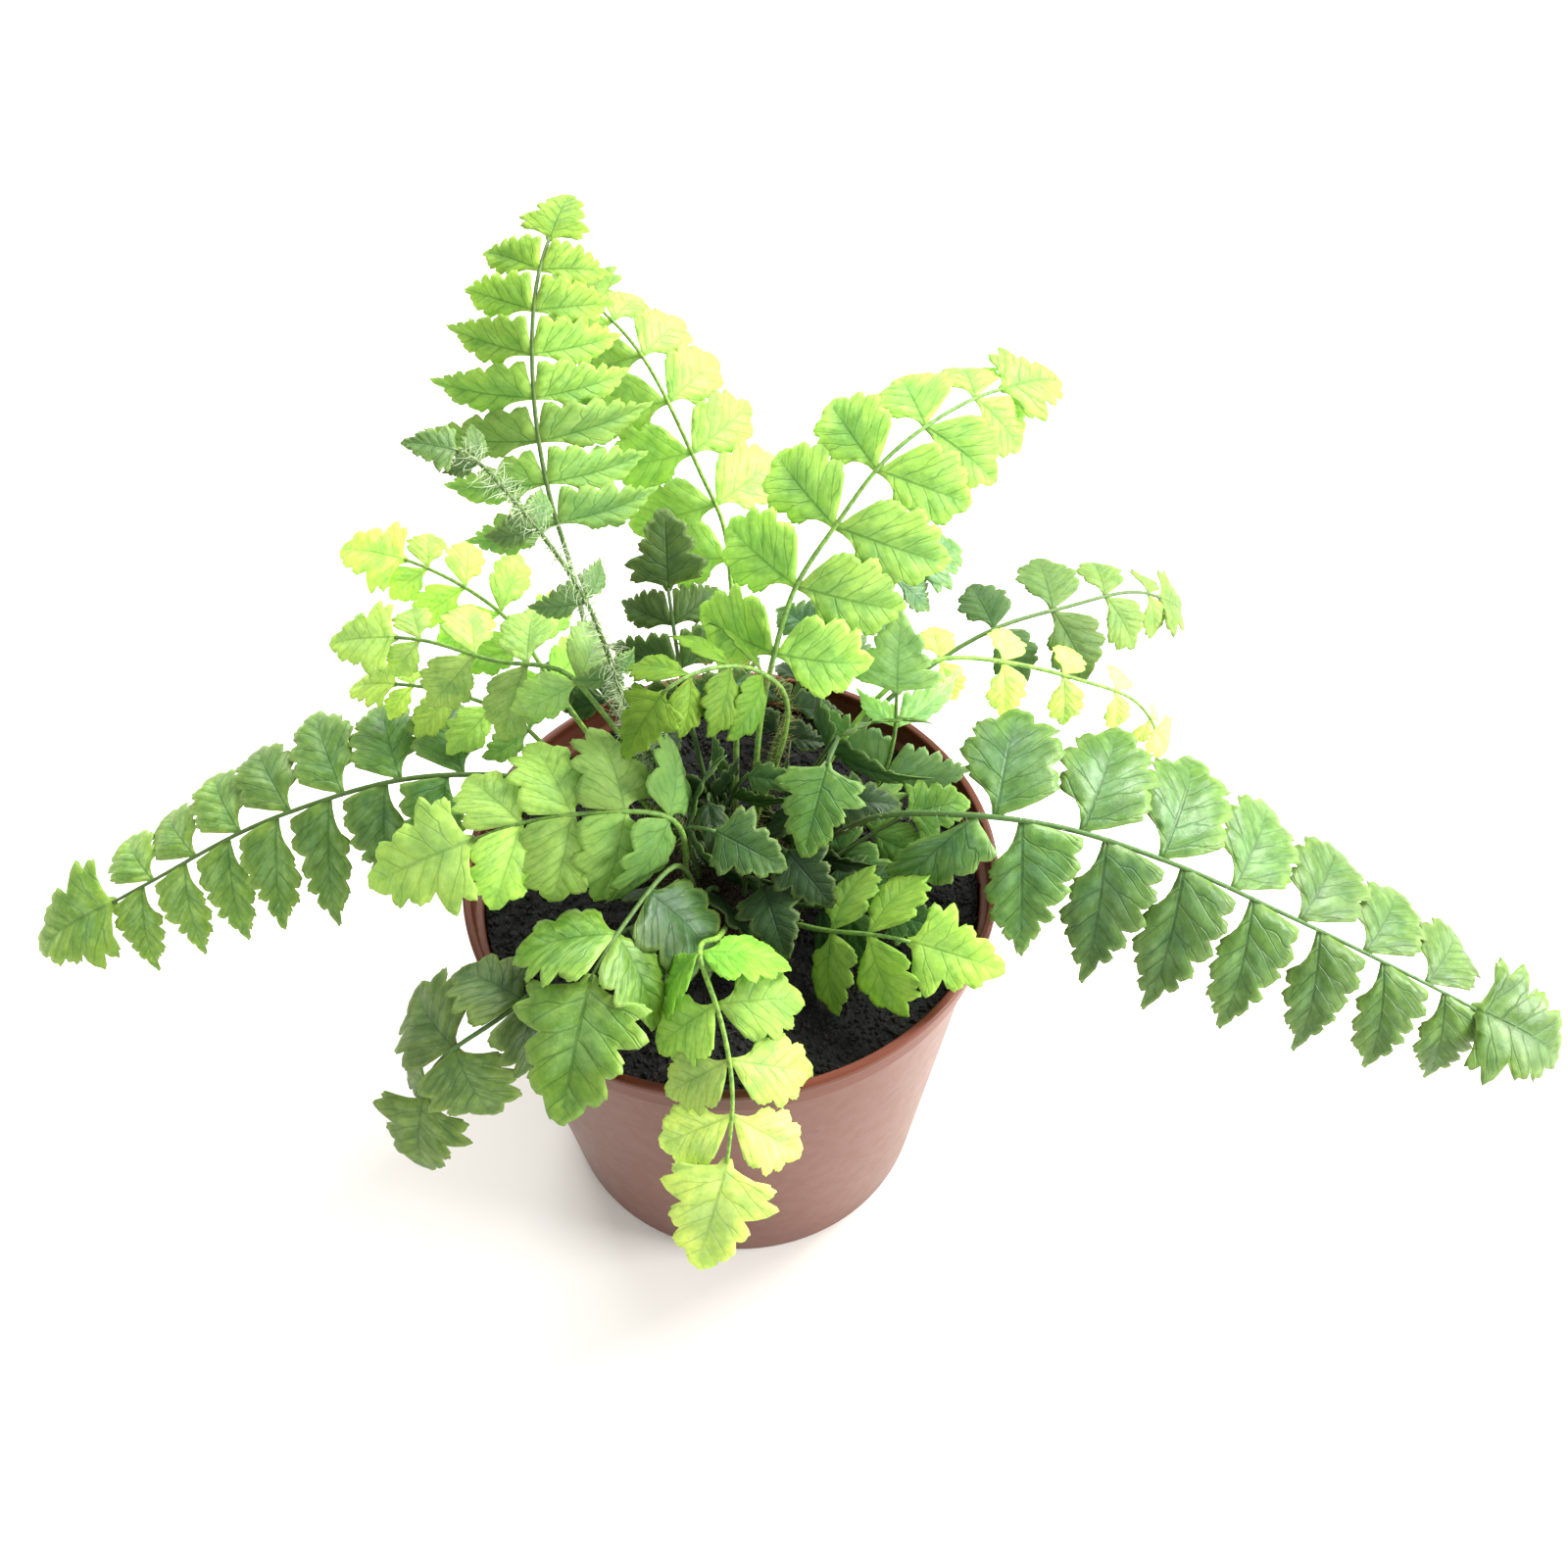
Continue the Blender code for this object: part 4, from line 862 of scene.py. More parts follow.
    def _rim_edges(self) -> np.ndarray:
        """The edges that only one triangle has, in its direction."""
        edges = np.concatenate([self.faces[:, [0, 1]], self.faces[:, [1, 2]], self.faces[:, [2, 0]]])
        keys = np.sort(edges, axis=1)
        _, index, counts = np.unique(keys, axis=0, return_index=True, return_counts=True)
        return edges[index[counts == 1]]


def smooth_step(values: np.ndarray, low: float, high: float) -> np.ndarray:
    """Zero below low, one above high, and a smooth rise between."""
    share = np.clip((values - low) / (high - low), 0, 1)
    return share * share * (3 - 2 * share)


FLAT_MAP = "flat_leaf"
GROWTH = "growth"


def shade_smooth(mesh: bpy.types.Mesh) -> None:
    """Shades all faces smoothly."""
    mesh.polygons.foreach_set("use_smooth", np.ones(len(mesh.polygons), dtype=bool))


class PieceMesh:
    """Collects the vertices, triangles and values of one piece."""

    def __init__(self) -> None:
        """Starts empty."""
        self.parts: list[tuple[np.ndarray, ...]] = []
        self.count = 0

    def add(
        self, points: np.ndarray, faces: np.ndarray, flat: np.ndarray, values: np.ndarray, slot: int
    ) -> None:
        """Adds one closed part.

        Args:
            points: places in millimetres.
            faces: triangles as indices into points.
            flat: each point's place on the flat leaf.
            values: age, shade and how far inside the margin, for each point.
            slot: the material's place in the piece's list.
        """
        slots = np.full(len(faces), slot)
        self.parts.append((points, faces + self.count, flat, values, slots))
        self.count += len(points)

    def mesh(self, name: str) -> bpy.types.Mesh:
        """The collected parts as one mesh, with a UV map and the values as an attribute."""
        mesh = bpy.data.meshes.new(name)
        points, faces, flat, values, slots = (np.concatenate(kind) for kind in zip(*self.parts))
        mesh.from_pydata((points * MM).tolist(), [], faces.tolist())
        layer = mesh.uv_layers.new(name=FLAT_MAP)
        layer.data.foreach_set("uv", flat[faces.ravel()].astype(np.float32).ravel())
        growth = mesh.attributes.new(GROWTH, "FLOAT_VECTOR", "POINT")
        growth.data.foreach_set("vector", values.astype(np.float32).ravel())
        mesh.polygons.foreach_set("material_index", slots.astype(np.int32))
        shade_smooth(mesh)
        mesh.update()
        return mesh


def linked(name: str, data: object) -> bpy.types.Object:
    """A new object in the scene."""
    made = bpy.data.objects.new(name, data)
    bpy.context.scene.collection.objects.link(made)
    return made


def place_piece(
    name: str, mesh: bpy.types.Mesh, materials: list[bpy.types.Material], slot: Slot, *nodes: str
) -> None:
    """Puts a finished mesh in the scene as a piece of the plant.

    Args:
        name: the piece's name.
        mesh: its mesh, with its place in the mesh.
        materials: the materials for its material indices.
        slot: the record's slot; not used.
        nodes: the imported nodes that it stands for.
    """
    piece = linked(name, mesh)
    if mesh.materials:
        mesh.materials.clear()
    for material in materials:
        mesh.materials.append(material)
    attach(piece, BODY)
    if nodes:
        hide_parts(*nodes)
    LOG.info("%s: %d faces", name, len(mesh.polygons))


@dataclass(frozen=True)
class Wire:
    """A value in a node tree. Arithmetic on it adds Math nodes."""

    build: "NodeBuilder"
    socket: bpy.types.NodeSocket

    def __add__(self, other: object) -> "Wire":
        """The sum."""
        return self.build.math("ADD", self, other)

    def __sub__(self, other: object) -> "Wire":
        """The difference."""
        return self.build.math("SUBTRACT", self, other)

    def __mul__(self, other: object) -> "Wire":
        """The product."""
        return self.build.math("MULTIPLY", self, other)

    def __truediv__(self, other: object) -> "Wire":
        """The quotient."""
        return self.build.math("DIVIDE", self, other)

    def __abs__(self) -> "Wire":
        """The value without its sign."""
        return self.build.math("ABSOLUTE", self)

    def ramp(self, low: float, high: float, start: float = 0.0, end: float = 1.0) -> "Wire":
        """The value taken smoothly from low..high to start..end."""
        inputs = {0: self, 1: low, 2: high, 3: start, 4: end}
        return self.build.wire("ShaderNodeMapRange", inputs, interpolation_type="SMOOTHSTEP")

    def noise(self, scale: float, detail: float = 2.0, rough: float = 0.5) -> "Wire":
        """A noise pattern's value at this place."""
        inputs = {"Scale": scale, "Detail": detail, "Roughness": rough, "Vector": self}
        return self.build.wire("ShaderNodeTexNoise", inputs, "Fac")


class NodeBuilder:
    """Adds nodes to a tree and links them, with sockets picked by name or number."""

    def __init__(self, tree: bpy.types.NodeTree) -> None:
        """Works on this tree."""
        self.tree = tree

    def feed(self, socket: bpy.types.NodeSocket, value: object) -> None:
        """Links a wire to the socket, or sets the socket to a plain value."""
        if isinstance(value, Wire):
            self.tree.links.new(value.socket, socket)
        else:
            socket.default_value = value

    def add(self, kind: str, inputs: Optional[dict] = None, **settings: object) -> bpy.types.Node:
        """Adds a node.

        Args:
            kind: the node's type.
            inputs: wire or plain value for each input, by name or number.
            settings: the node's own properties.

        Returns:
            The node.
        """
        node = self.tree.nodes.new(kind)
        for key, value in settings.items():
            setattr(node, key, value)
        for key, value in (inputs or {}).items():
            self.feed(node.inputs[key], value)
        return node

    def wire(
        self, kind: str, inputs: Optional[dict] = None, output: object = 0, **settings: object
    ) -> Wire:
        """Adds a node and gives one of its outputs, by name or number."""
        return Wire(self, self.add(kind, inputs, **settings).outputs[output])

    def math(self, operation: str, *values: object) -> Wire:
        """The result of a Math node on these values."""
        return self.wire("ShaderNodeMath", dict(enumerate(values)), operation=operation)

    def vector(self, x: object, y: object, z: object) -> Wire:
        """A vector of three values."""
        return self.wire("ShaderNodeCombineXYZ", {0: x, 1: y, 2: z})

    def split(self, vector: Wire) -> list[Wire]:
        """A vector's three values."""
        node = self.add("ShaderNodeSeparateXYZ", {0: vector})
        return [Wire(self, socket) for socket in node.outputs]

    def mix(self, share: object, first: object, second: object, blend: str = "MIX") -> Wire:
        """A mix of two colours."""
        inputs = {0: share, 6: first, 7: second}
        return self.wire("ShaderNodeMix", inputs, 2, data_type="RGBA", blend_type=blend)

    def tint(self, colour: Wire, tint: Rgba, share: object) -> Wire:
        """The colour, multiplied by a tint as far as the share says."""
        return self.mix(share, colour, self.mix(1.0, colour, tint, "MULTIPLY"))

    def place(self) -> Wire:
        """The place in the object's own coordinates."""
        return self.wire("ShaderNodeTexCoord", output="Object")

    def growth(self) -> list[Wire]:
        """The leaf's age, its shade and how far inside its margin, as stored on the mesh."""
        return self.split(self.wire("ShaderNodeAttribute", output="Vector", attribute_name=GROWTH))


class GroupBuilder(NodeBuilder):
    """A tree of its own, with named inputs and outputs."""

    KINDS = {float: "NodeSocketFloat", int: "NodeSocketInt", tuple: "NodeSocketColor"}

    def __init__(self, kind: str, name: str, inputs: dict, outputs: dict) -> None:
        """Makes the tree.

        Args:
            kind: the tree's type.
            name: the tree's name.
            inputs: each input's starting value, or its socket type where it has none, by name.
            outputs: each output's socket type by name.
        """
        super().__init__(bpy.data.node_groups.new(name, kind))
        for label, value in inputs.items():
            socket = value if isinstance(value, str) else self.KINDS[type(value)]
            made = self.tree.interface.new_socket(label, in_out="INPUT", socket_type=socket)
            if value != socket:
                made.default_value = value
        for label, socket in outputs.items():
            self.tree.interface.new_socket(label, in_out="OUTPUT", socket_type=socket)
        source = self.add("NodeGroupInput")
        self.target = self.add("NodeGroupOutput")
        self.inputs = {label: Wire(self, source.outputs[label]) for label in inputs}

    def finish(self, *wires: Wire) -> bpy.types.NodeTree:
        """Hands these out, in the outputs' order."""
        for socket, wire in zip(self.target.inputs, wires):
            self.feed(socket, wire)
        return self.tree


class SkinGroup(GroupBuilder):
    """A shader node group that gives a colour, a roughness and a height."""

    def __init__(self, name: str, inputs: dict) -> None:
        """Makes the group with these inputs."""
        number = "NodeSocketFloat"
        outputs = {"Colour": "NodeSocketColor", "Roughness": number, "Height": number}
        super().__init__("ShaderNodeTree", name, inputs, outputs)


@dataclass(frozen=True)
class Pattern:
    """A noise pattern, and the values between which it rises from start to end."""

    scale: float
    detail: float
    rough: float
    low: float
    high: float
    start: float = 0.0
    end: float = 1.0

    def at(self, place: Wire) -> Wire:
        """The pattern's value at a place."""
        noise_value = place.noise(self.scale, self.detail, self.rough)
        return noise_value.ramp(self.low, self.high, self.start, self.end)


# Veins on a flat leaf, as shares of its length: side veins leave the midrib one step apart, and
# lean more towards the tip the further up they start. A fork is where it opens and how wide.
VEIN_STEP = 0.165
VEIN_STAGGER = 0.4
VEIN_OFFSET = 3.0
VEIN_SLOPE = 0.30
VEIN_SPREAD = 1.10
VEIN_CURVE = 0.25
VEIN_WIDTH = 0.013
VEIN_TAPER = 2.0
VEIN_WANDER = 0.06
VEIN_SHIFT = 0.11
WANDER_SCALE = 5.0
SHIFT_SCALE = 4.5
VEIN_CORE = 0.2
FORK_WANDER = 0.20
FORKS = (((0.08, 0.32), 0.24), ((0.26, 0.55), 0.10))
MIDRIB_WIDTH = 0.020
MIDRIB_CORE = 0.3
MIDRIB_FADE = (0.4, 0.95, 1.0, 0.15)

# How far a leaflet's own shade moves each pattern, so that no two leaflets have the same
SPOT_SHIFT = 9.0
VEIN_SHIFTS = 41.0
STREAK_SCALES = (9.0, 3.0, 23.0)

# Colour of a blade: tints, each with the pattern or the reach over which it comes in
VEIN_TINT = (0.36, 0.50, 0.40, 1)
VEIN_FADE = (0.0, 0.5, 0.45, 1.0)
MOTTLE_TINT = (0.76, 0.85, 0.86, 1)
MOTTLE = Pattern(2.6, 3.0, 0.6, 0.42, 0.66)
FLECKS = Pattern(16.0, 3.0, 0.6, 0.35, 0.70, 0.0, 0.7)
BLOTCH_TINT = (0.62, 0.74, 0.66, 1)
BLOTCHES = Pattern(5.5, 4.0, 0.7, 0.40, 0.62)
# The sheen tint is a painted sheen: pale bluish streaks near the midrib that stand for light reflected
# off the blade's gloss
PAINTED_SHEEN_TINT = (1.62, 1.42, 3.00, 1)
PAINTED_SHEEN_STREAKS = Pattern(1.1, 3.0, 0.6, 0.42, 0.60)
PAINTED_SHEEN_REACH = (0.15, 0.6)
END_TINT = (0.84, 0.92, 0.48, 1)
END_REACH = (0.45, 0.95)
END_WANDER = 0.5
CORE_TINT = (0.60, 0.74, 0.72, 1)
CORE_REACH = (0.0, 1.15)
CORE_WANDER = 0.7
CORE_STREAKS = Pattern(1.6, 3.0, 0.6, 0.25, 0.75)
EDGE_COLOUR = (0.72, 1.0, 0.28, 1)
EDGE_SHARE = 0.4
EDGE_REACH = (0.0, 0.22, 1.0, 0.0)
SHADES = (0.0, 1.0, 0.85, 1.14)

# Relief of a blade's skin: grain, and a swelling between the veins
GRAIN_SCALE = 60.0
GRAIN_HEIGHT = 0.25
VEIN_RELIEF = 0.5
SWELL_REACH = (0.01, 0.12, 0.0, 0.4)
BLADE_ROUGHNESS = Pattern(14.0, 2.0, 0.5, 0.2, 0.8, 0.32, 0.52)


def leaf_skin() -> bpy.types.NodeTree:
    """The node group for a blade's colour and relief: forking veins, a dark core, a painted sheen and a
    pale margin.
    """
    build = SkinGroup("leaf_skin", {
        "Old Colour": (0.2, 0.4, 0.1, 1), "Young Colour": (0.4, 0.6, 0.1, 1), "Vein Depth": 0.6,
        "Margin": 0.5, "Core": 0.5, "Painted Sheen And Blotches": 0.5,
    })
    old, young, vein_depth, margin, core_depth, painted_sheen_and_blotches = build.inputs.values()
    x, y, _ = build.split(build.wire("ShaderNodeUVMap", uv_map=FLAT_MAP))
    age, shade, inside = build.growth()
    far = abs(y)
    upper = build.math("GREATER_THAN", y, 0.0)
    spot = build.vector(x, y, shade * SPOT_SHIFT)
    wander = spot.noise(WANDER_SCALE) - 0.5

    leaning = x - far * VEIN_SLOPE - far * far * VEIN_CURVE
    start = leaning / (far * VEIN_SPREAD + 1.0)
    by_vein = build.vector(start * SHIFT_SCALE, upper, shade * VEIN_SHIFTS)
    shift = by_vein.noise(1.0, 1.0) - 0.5
    uneven = wander * VEIN_WANDER + shift * VEIN_SHIFT
    side = start + upper * (VEIN_STEP * VEIN_STAGGER) + (uneven + VEIN_OFFSET)
    between = build.math("PINGPONG", side, VEIN_STEP / 2)
    away = between
    forking = far + wander * FORK_WANDER
    for reach, gap in FORKS:
        away = abs(away - forking.ramp(*reach, 0.0, gap * VEIN_STEP))
    tapered = away * (far * VEIN_TAPER + 1.0)
    branches = tapered.ramp(VEIN_WIDTH * VEIN_CORE, VEIN_WIDTH, 1.0, 0.0)
    rib = far.ramp(MIDRIB_WIDTH * MIDRIB_CORE, MIDRIB_WIDTH, 1.0, 0.0) * x.ramp(*MIDRIB_FADE)
    veins = build.math("MAXIMUM", branches, rib)

    across_scale, out_scale, shade_scale = STREAK_SCALES
    along_veins = build.vector(side * across_scale, far * out_scale, shade * shade_scale)
    body = build.tint(build.mix(age, old, young), MOTTLE_TINT, MOTTLE.at(spot))
    body = build.tint(body, MOTTLE_TINT, FLECKS.at(spot))
    # The sheen strength sets the blotches, the painted sheen (pale bluish streaks inside the margin, for
    # reflected light) and the end tint
    body = build.tint(body, BLOTCH_TINT, BLOTCHES.at(spot) * painted_sheen_and_blotches)
    painted_sheen_share = inside.ramp(*PAINTED_SHEEN_REACH) * painted_sheen_and_blotches
    body = build.tint(body, PAINTED_SHEEN_TINT, PAINTED_SHEEN_STREAKS.at(along_veins) * painted_sheen_share)
    body = build.tint(body, END_TINT, (x + wander * END_WANDER).ramp(*END_REACH) * painted_sheen_and_blotches)
    feathered = inside + (CORE_STREAKS.at(along_veins) - 0.5) * CORE_WANDER
    cored = build.tint(body, CORE_TINT, feathered.ramp(*CORE_REACH) * core_depth)
    veined = build.tint(cored, VEIN_TINT, veins * vein_depth * inside.ramp(*VEIN_FADE))
    pale = build.mix(EDGE_SHARE, young, EDGE_COLOUR)
    edged = build.mix(inside.ramp(*EDGE_REACH) * margin, veined, pale)
    bright = shade.ramp(*SHADES)
    lit = build.mix(1.0, edged, build.vector(bright, bright, bright), "MULTIPLY")

    swollen = between.ramp(0.0, VEIN_STEP / 2) * far.ramp(*SWELL_REACH)
    height = spot.noise(GRAIN_SCALE) * GRAIN_HEIGHT + swollen - veins * VEIN_RELIEF
    return build.finish(lit, BLADE_ROUGHNESS.at(spot), height)


# Colour of a stem: dark streaks, and how far up the brown of the foot reaches
SPECKLES = (900.0, 3.0, 0.65)
STREAK_REACH = (0.42, 0.60, 0.0, 0.55)
STREAK_COLOUR = (0.05, 0.10, 0.03, 1)
STEM_ROUGHNESS = (0.3, 0.7, 0.40, 0.62)
FOOT_REACH = (0.02, 0.30)
FOOT_PATCHES = 160.0
FOOT_WANDER = 0.25


def stem_skin() -> bpy.types.NodeTree:
    """The node group for a stem: brown at its foot, green above, with dark streaks."""
    build = SkinGroup(
        "stem_skin", {"Foot Colour": (0.10, 0.08, 0.03, 1), "Upper Colour": (0.2, 0.4, 0.1, 1)}
    )
    foot, upper = build.inputs.values()
    age, _, _ = build.growth()
    where = build.place()
    speckle = where.noise(*SPECKLES)
    rise = age + (where.noise(FOOT_PATCHES) - 0.5) * FOOT_WANDER
    body = build.mix(rise.ramp(*FOOT_REACH), foot, upper)
    dark = build.mix(speckle.ramp(*STREAK_REACH), body, STREAK_COLOUR)
    return build.finish(dark, speckle.ramp(*STEM_ROUGHNESS), speckle)


# How strong the relief of a skin is, how high in metres, and how glossy a stem is
RELIEF_STRENGTH = 0.5
BLADE_RELIEF = 0.0005
STEM_RELIEF = 0.0002
STEM_GLOSS = 0.25


class MaterialBuilder(NodeBuilder):
    """A new material, with what feeds its Principled shader."""

    def __init__(self, name: str) -> None:
        """Makes the material."""
        self.material = bpy.data.materials.new(name)
        self.material.use_nodes = True
        super().__init__(self.material.node_tree)
        self.shader = self.tree.nodes["Principled BSDF"]

    def dress(
        self, colour: object, roughness: object, gloss: float = 0.5, height: Optional[Wire] = None,
        relief: tuple[float, float] = (0.5, 0.0002), glow: float = 0.0,
    ) -> bpy.types.Material:
        """Feeds the shader.

        Args:
            colour: the base colour.
            roughness: its roughness.
            gloss: how strongly it reflects, where 0.5 is the usual.
            height: the relief, if there is one.
            relief: the relief's strength, and its height in metres.
            glow: the share of light that comes through from behind.

        Returns:
            The material.
        """
        sockets = self.shader.inputs
        self.feed(sockets["Base Color"], colour)
        self.feed(sockets["Roughness"], roughness)
        self.feed(sockets["Specular IOR Level"], gloss)
        if height is not None:
            bump = {"Strength": relief[0], "Distance": relief[1], "Height": height}
            self.feed(sockets["Normal"], self.wire("ShaderNodeBump", bump))
        if glow:
            through = self.wire("ShaderNodeBsdfTranslucent", {"Color": colour})
            shaders = {0: glow, 1: Wire(self, self.shader.outputs[0]), 2: through}
            mixed = self.wire("ShaderNodeMixShader", shaders)
            self.feed(self.tree.nodes["Material Output"].inputs["Surface"], mixed)
        return self.material

    def wear(
        self, skin: bpy.types.NodeTree, values: dict, depth: float, gloss: float, glow: float = 0.0
    ) -> bpy.types.Material:
        """Dresses the material in a skin group.

        Args:
            skin: the group.
            values: the group's inputs by name.
            depth: the height of its relief in metres.
            gloss: how strongly it reflects.
            glow: the share of light that comes through from behind.

        Returns:
            The material.
        """
        group = self.add("ShaderNodeGroup", values, node_tree=skin)
        colour, roughness, height = (Wire(self, socket) for socket in group.outputs)
        return self.dress(colour, roughness, gloss, height, (RELIEF_STRENGTH, depth), glow)


@dataclass(frozen=True)
class LeafFinish:
    """The look of one frond's leaflets, with their sRGB colours near the crown and near the tip."""

    old: tuple[int, int, int]
    young: tuple[int, int, int]
    vein_depth: float = 0.54
    margin: float = 0.25
    core: float = 0.75
    # sheen: how strong the blotches, the end tint and the painted sheen are; the sheen is pale streaks
    # painted for reflected light
    painted_sheen_and_blotches: float = 0.85
    glow: float = 0.28
    gloss: float = 0.42

    def material(self, name: str, skin: bpy.types.NodeTree) -> bpy.types.Material:
        """The blade's material, part of whose light comes through from behind."""
        values = {
            "Old Colour": opaque(linear(*self.old)), "Young Colour": opaque(linear(*self.young)),
            "Vein Depth": self.vein_depth, "Margin": self.margin, "Core": self.core,
            "Painted Sheen And Blotches": self.painted_sheen_and_blotches,
        }
        return MaterialBuilder(name).wear(skin, values, BLADE_RELIEF, self.gloss, self.glow)


@dataclass(frozen=True)
class StemFinish:
    """The look of a stem: its colour above, in sRGB, and at the foot."""

    upper: tuple[int, int, int]
    foot: Colour = (0.10, 0.075, 0.030)

    def material(self, name: str, skin: bpy.types.NodeTree) -> bpy.types.Material:
        """The stem's material."""
        values = {"Foot Colour": opaque(self.foot), "Upper Colour": opaque(linear(*self.upper))}
        return MaterialBuilder(name).wear(skin, values, STEM_RELIEF, STEM_GLOSS)


def run_tree(mesh: bpy.types.Mesh, tree: bpy.types.NodeTree, values: dict) -> bpy.types.Mesh:
    """The mesh that a Geometry Nodes tree makes from another mesh.

    Args:
        mesh: the mesh that goes in.
        tree: the tree, with its inputs' names.
        values: the inputs' values by name.

    Returns:
        A plain mesh.
    """
    holder = linked("holder", mesh)
    modifier = holder.modifiers.new("tree", "NODES")
    modifier.node_group = tree
    for item in tree.interface.items_tree:
        if item.item_type == "SOCKET" and item.in_out == "INPUT" and item.name in values:
            modifier[item.identifier] = values[item.name]
    graph = bpy.context.evaluated_depsgraph_get()
    made = bpy.data.meshes.new_from_object(holder.evaluated_get(graph))
    holder.modifiers.clear()
    bpy.data.objects.remove(holder)
    return made


class GeometryTree(GroupBuilder):
    """A Geometry Nodes tree that makes one material's geometry from a mesh."""

    def __init__(self, name: str, inputs: dict) -> None:
        """Makes the tree, with these inputs between its geometry and its material."""
        geometry = {"Geometry": "NodeSocketGeometry"}
        everything = {**geometry, **inputs, "Material": "NodeSocketMaterial"}
        super().__init__("GeometryNodeTree", name, everything, geometry)

    def along(self) -> Wire:
        """The share of the way along a curve."""
        return self.wire("GeometryNodeSplineParameter", output="Factor")

    def sweep(self, curve: Wire, radius: Wire, sides: object) -> Wire:
        """A closed tube along a curve."""
        sized = self.wire("GeometryNodeSetCurveRadius", {"Curve": curve, "Radius": radius})
        circle = {"Resolution": sides, "Radius": 1.0}
        profile = self.wire("GeometryNodeCurvePrimitiveCircle", circle)
        inputs = {"Curve": sized, "Profile Curve": profile, "Fill Caps": True}
        tube = self.add("GeometryNodeCurveToMesh", inputs)
        if "Scale" in tube.inputs:
            self.feed(tube.inputs["Scale"], radius)
        return Wire(self, tube.outputs[0])

    def pick(self, low: object, high: object) -> Wire:
        """A random number for each instance."""
        inputs = {"Seed": self.inputs["Seed"], 2: low, 3: high}
        return self.wire("FunctionNodeRandomValue", inputs, 1, data_type="FLOAT")

    def pick_turn(self, low: object, high: object) -> Wire:
        """Random angles about the three axes for each instance."""
        inputs = {"Seed": self.inputs["Seed"], 0: low, 1: high}
        return self.wire("FunctionNodeRandomValue", inputs, data_type="FLOAT_VECTOR")

    def plant(self, form: Wire, scale: Wire, turn: Optional[Wire] = None) -> Wire:
        """Strews copies of a form over the mesh, upright on its faces unless a turn is given."""
        inputs = {"Mesh": self.inputs["Geometry"]}
        inputs.update((label, self.inputs[label]) for label in ("Density", "Seed"))
        strewn = self.add("GeometryNodeDistributePointsOnFaces", inputs)
        upright = Wire(self, strewn.outputs["Rotation"])
        inputs = {"Points": Wire(self, strewn.outputs["Points"]), "Instance": form,
                  "Rotation": turn or upright, "Scale": scale}
        return self.wire("GeometryNodeInstanceOnPoints", inputs)

    def finish(self, geometry: Wire) -> bpy.types.NodeTree:
        """Gives the result its material and hands it out."""
        inputs = {"Geometry": geometry, "Material": self.inputs["Material"]}
        painted = self.wire("GeometryNodeSetMaterial", inputs)
        return super().finish(self.wire("GeometryNodeRealizeInstances", {0: painted}))


def stem_tube_tree() -> bpy.types.NodeTree:
    """The tree that turns a line of points into a tapered stem, which keeps its share along."""
    build = GeometryTree(
        "stem_tube", {"Foot Radius": 0.75 * MM, "Tip Radius": 0.4 * MM, "Sides": 8}
    )
    line, foot, tip, sides, _ = build.inputs.values()
    curve = build.wire("GeometryNodeMeshToCurve", {0: line})
    along = build.along()
    inputs = {"Geometry": curve, "Name": "along", "Value": along}
    stored = build.wire(
        "GeometryNodeStoreNamedAttribute", inputs, data_type="FLOAT", domain="POINT"
    )
    radius = build.wire("ShaderNodeMapRange", {0: along, 3: foot, 4: tip})
    return build.finish(build.sweep(stored, radius, sides))


# A hair bends at a share of its length, and narrows to a share of its width. Sizes are shares too.
HAIR_BEND_AT = 0.6
HAIR_TIP = 0.25
HAIR_SIZES = (0.45, 1.0)


def hair_tree() -> bpy.types.NodeTree:
    """The tree that sets bent hairs or narrow scales all over a surface."""
    build = GeometryTree("hairs", {
        "Density": 1.0e6, "Length": 2.0 * MM, "Width": 0.1 * MM, "Lean": 0.6, "Bend": 0.4, "Seed": 1,
    })
    _, _, length, width, lean, bend, _, _ = build.inputs.values()
    inputs = {
        "Resolution": 4, "Start": (0, 0, 0), "Middle": build.vector(0.0, 0.0, length * HAIR_BEND_AT),
        "End": build.vector(length * bend, 0.0, length),
    }
    curve = build.wire("GeometryNodeCurveQuadraticBezier", inputs)
    taper = build.wire("ShaderNodeMapRange", {0: build.along(), 3: 1.0, 4: HAIR_TIP})
    strand = build.sweep(curve, width * 0.5 * taper, 3)
    planted = build.plant(strand, build.pick(*HAIR_SIZES))
    turn = build.pick_turn(build.vector(lean * -1.0, 0.0, 0.0), build.vector(lean, 0.0, math.tau))
    inputs = {"Instances": planted, "Rotation": turn}
    return build.finish(build.wire("GeometryNodeRotateInstances", inputs))


# How rough a crumb is, against its radius
CRUMB_KNOBS = 1.7
CRUMB_SWELL = 1.6


def crumb_tree() -> bpy.types.NodeTree:
    """The tree that strews small rough lumps over the soil."""
    build = GeometryTree("crumbs", {
        "Density": 1.0e5, "Smallest": 0.3 * MM, "Largest": 1.2 * MM, "Flatness": 0.6, "Seed": 1,
    })
    _, _, smallest, largest, flatness, _, _ = build.inputs.values()
    ball = build.wire("GeometryNodeMeshIcoSphere", {"Radius": 1.0, "Subdivisions": 1})
    where = build.wire("GeometryNodeInputPosition")
    swell = where.noise(CRUMB_KNOBS, 1.0) * CRUMB_SWELL - CRUMB_SWELL / 2
    offset = build.wire("ShaderNodeVectorMath", {0: where, "Scale": swell}, operation="SCALE")
    lump = build.wire("GeometryNodeSetPosition", {"Geometry": ball, "Offset": offset})
    size = build.pick(smallest, largest)
    scale = build.vector(size, size, size * flatness)
    turn = build.pick_turn((0.0, 0.0, 0.0), (math.tau, math.tau, math.tau))
    return build.finish(build.plant(lump, scale, turn))


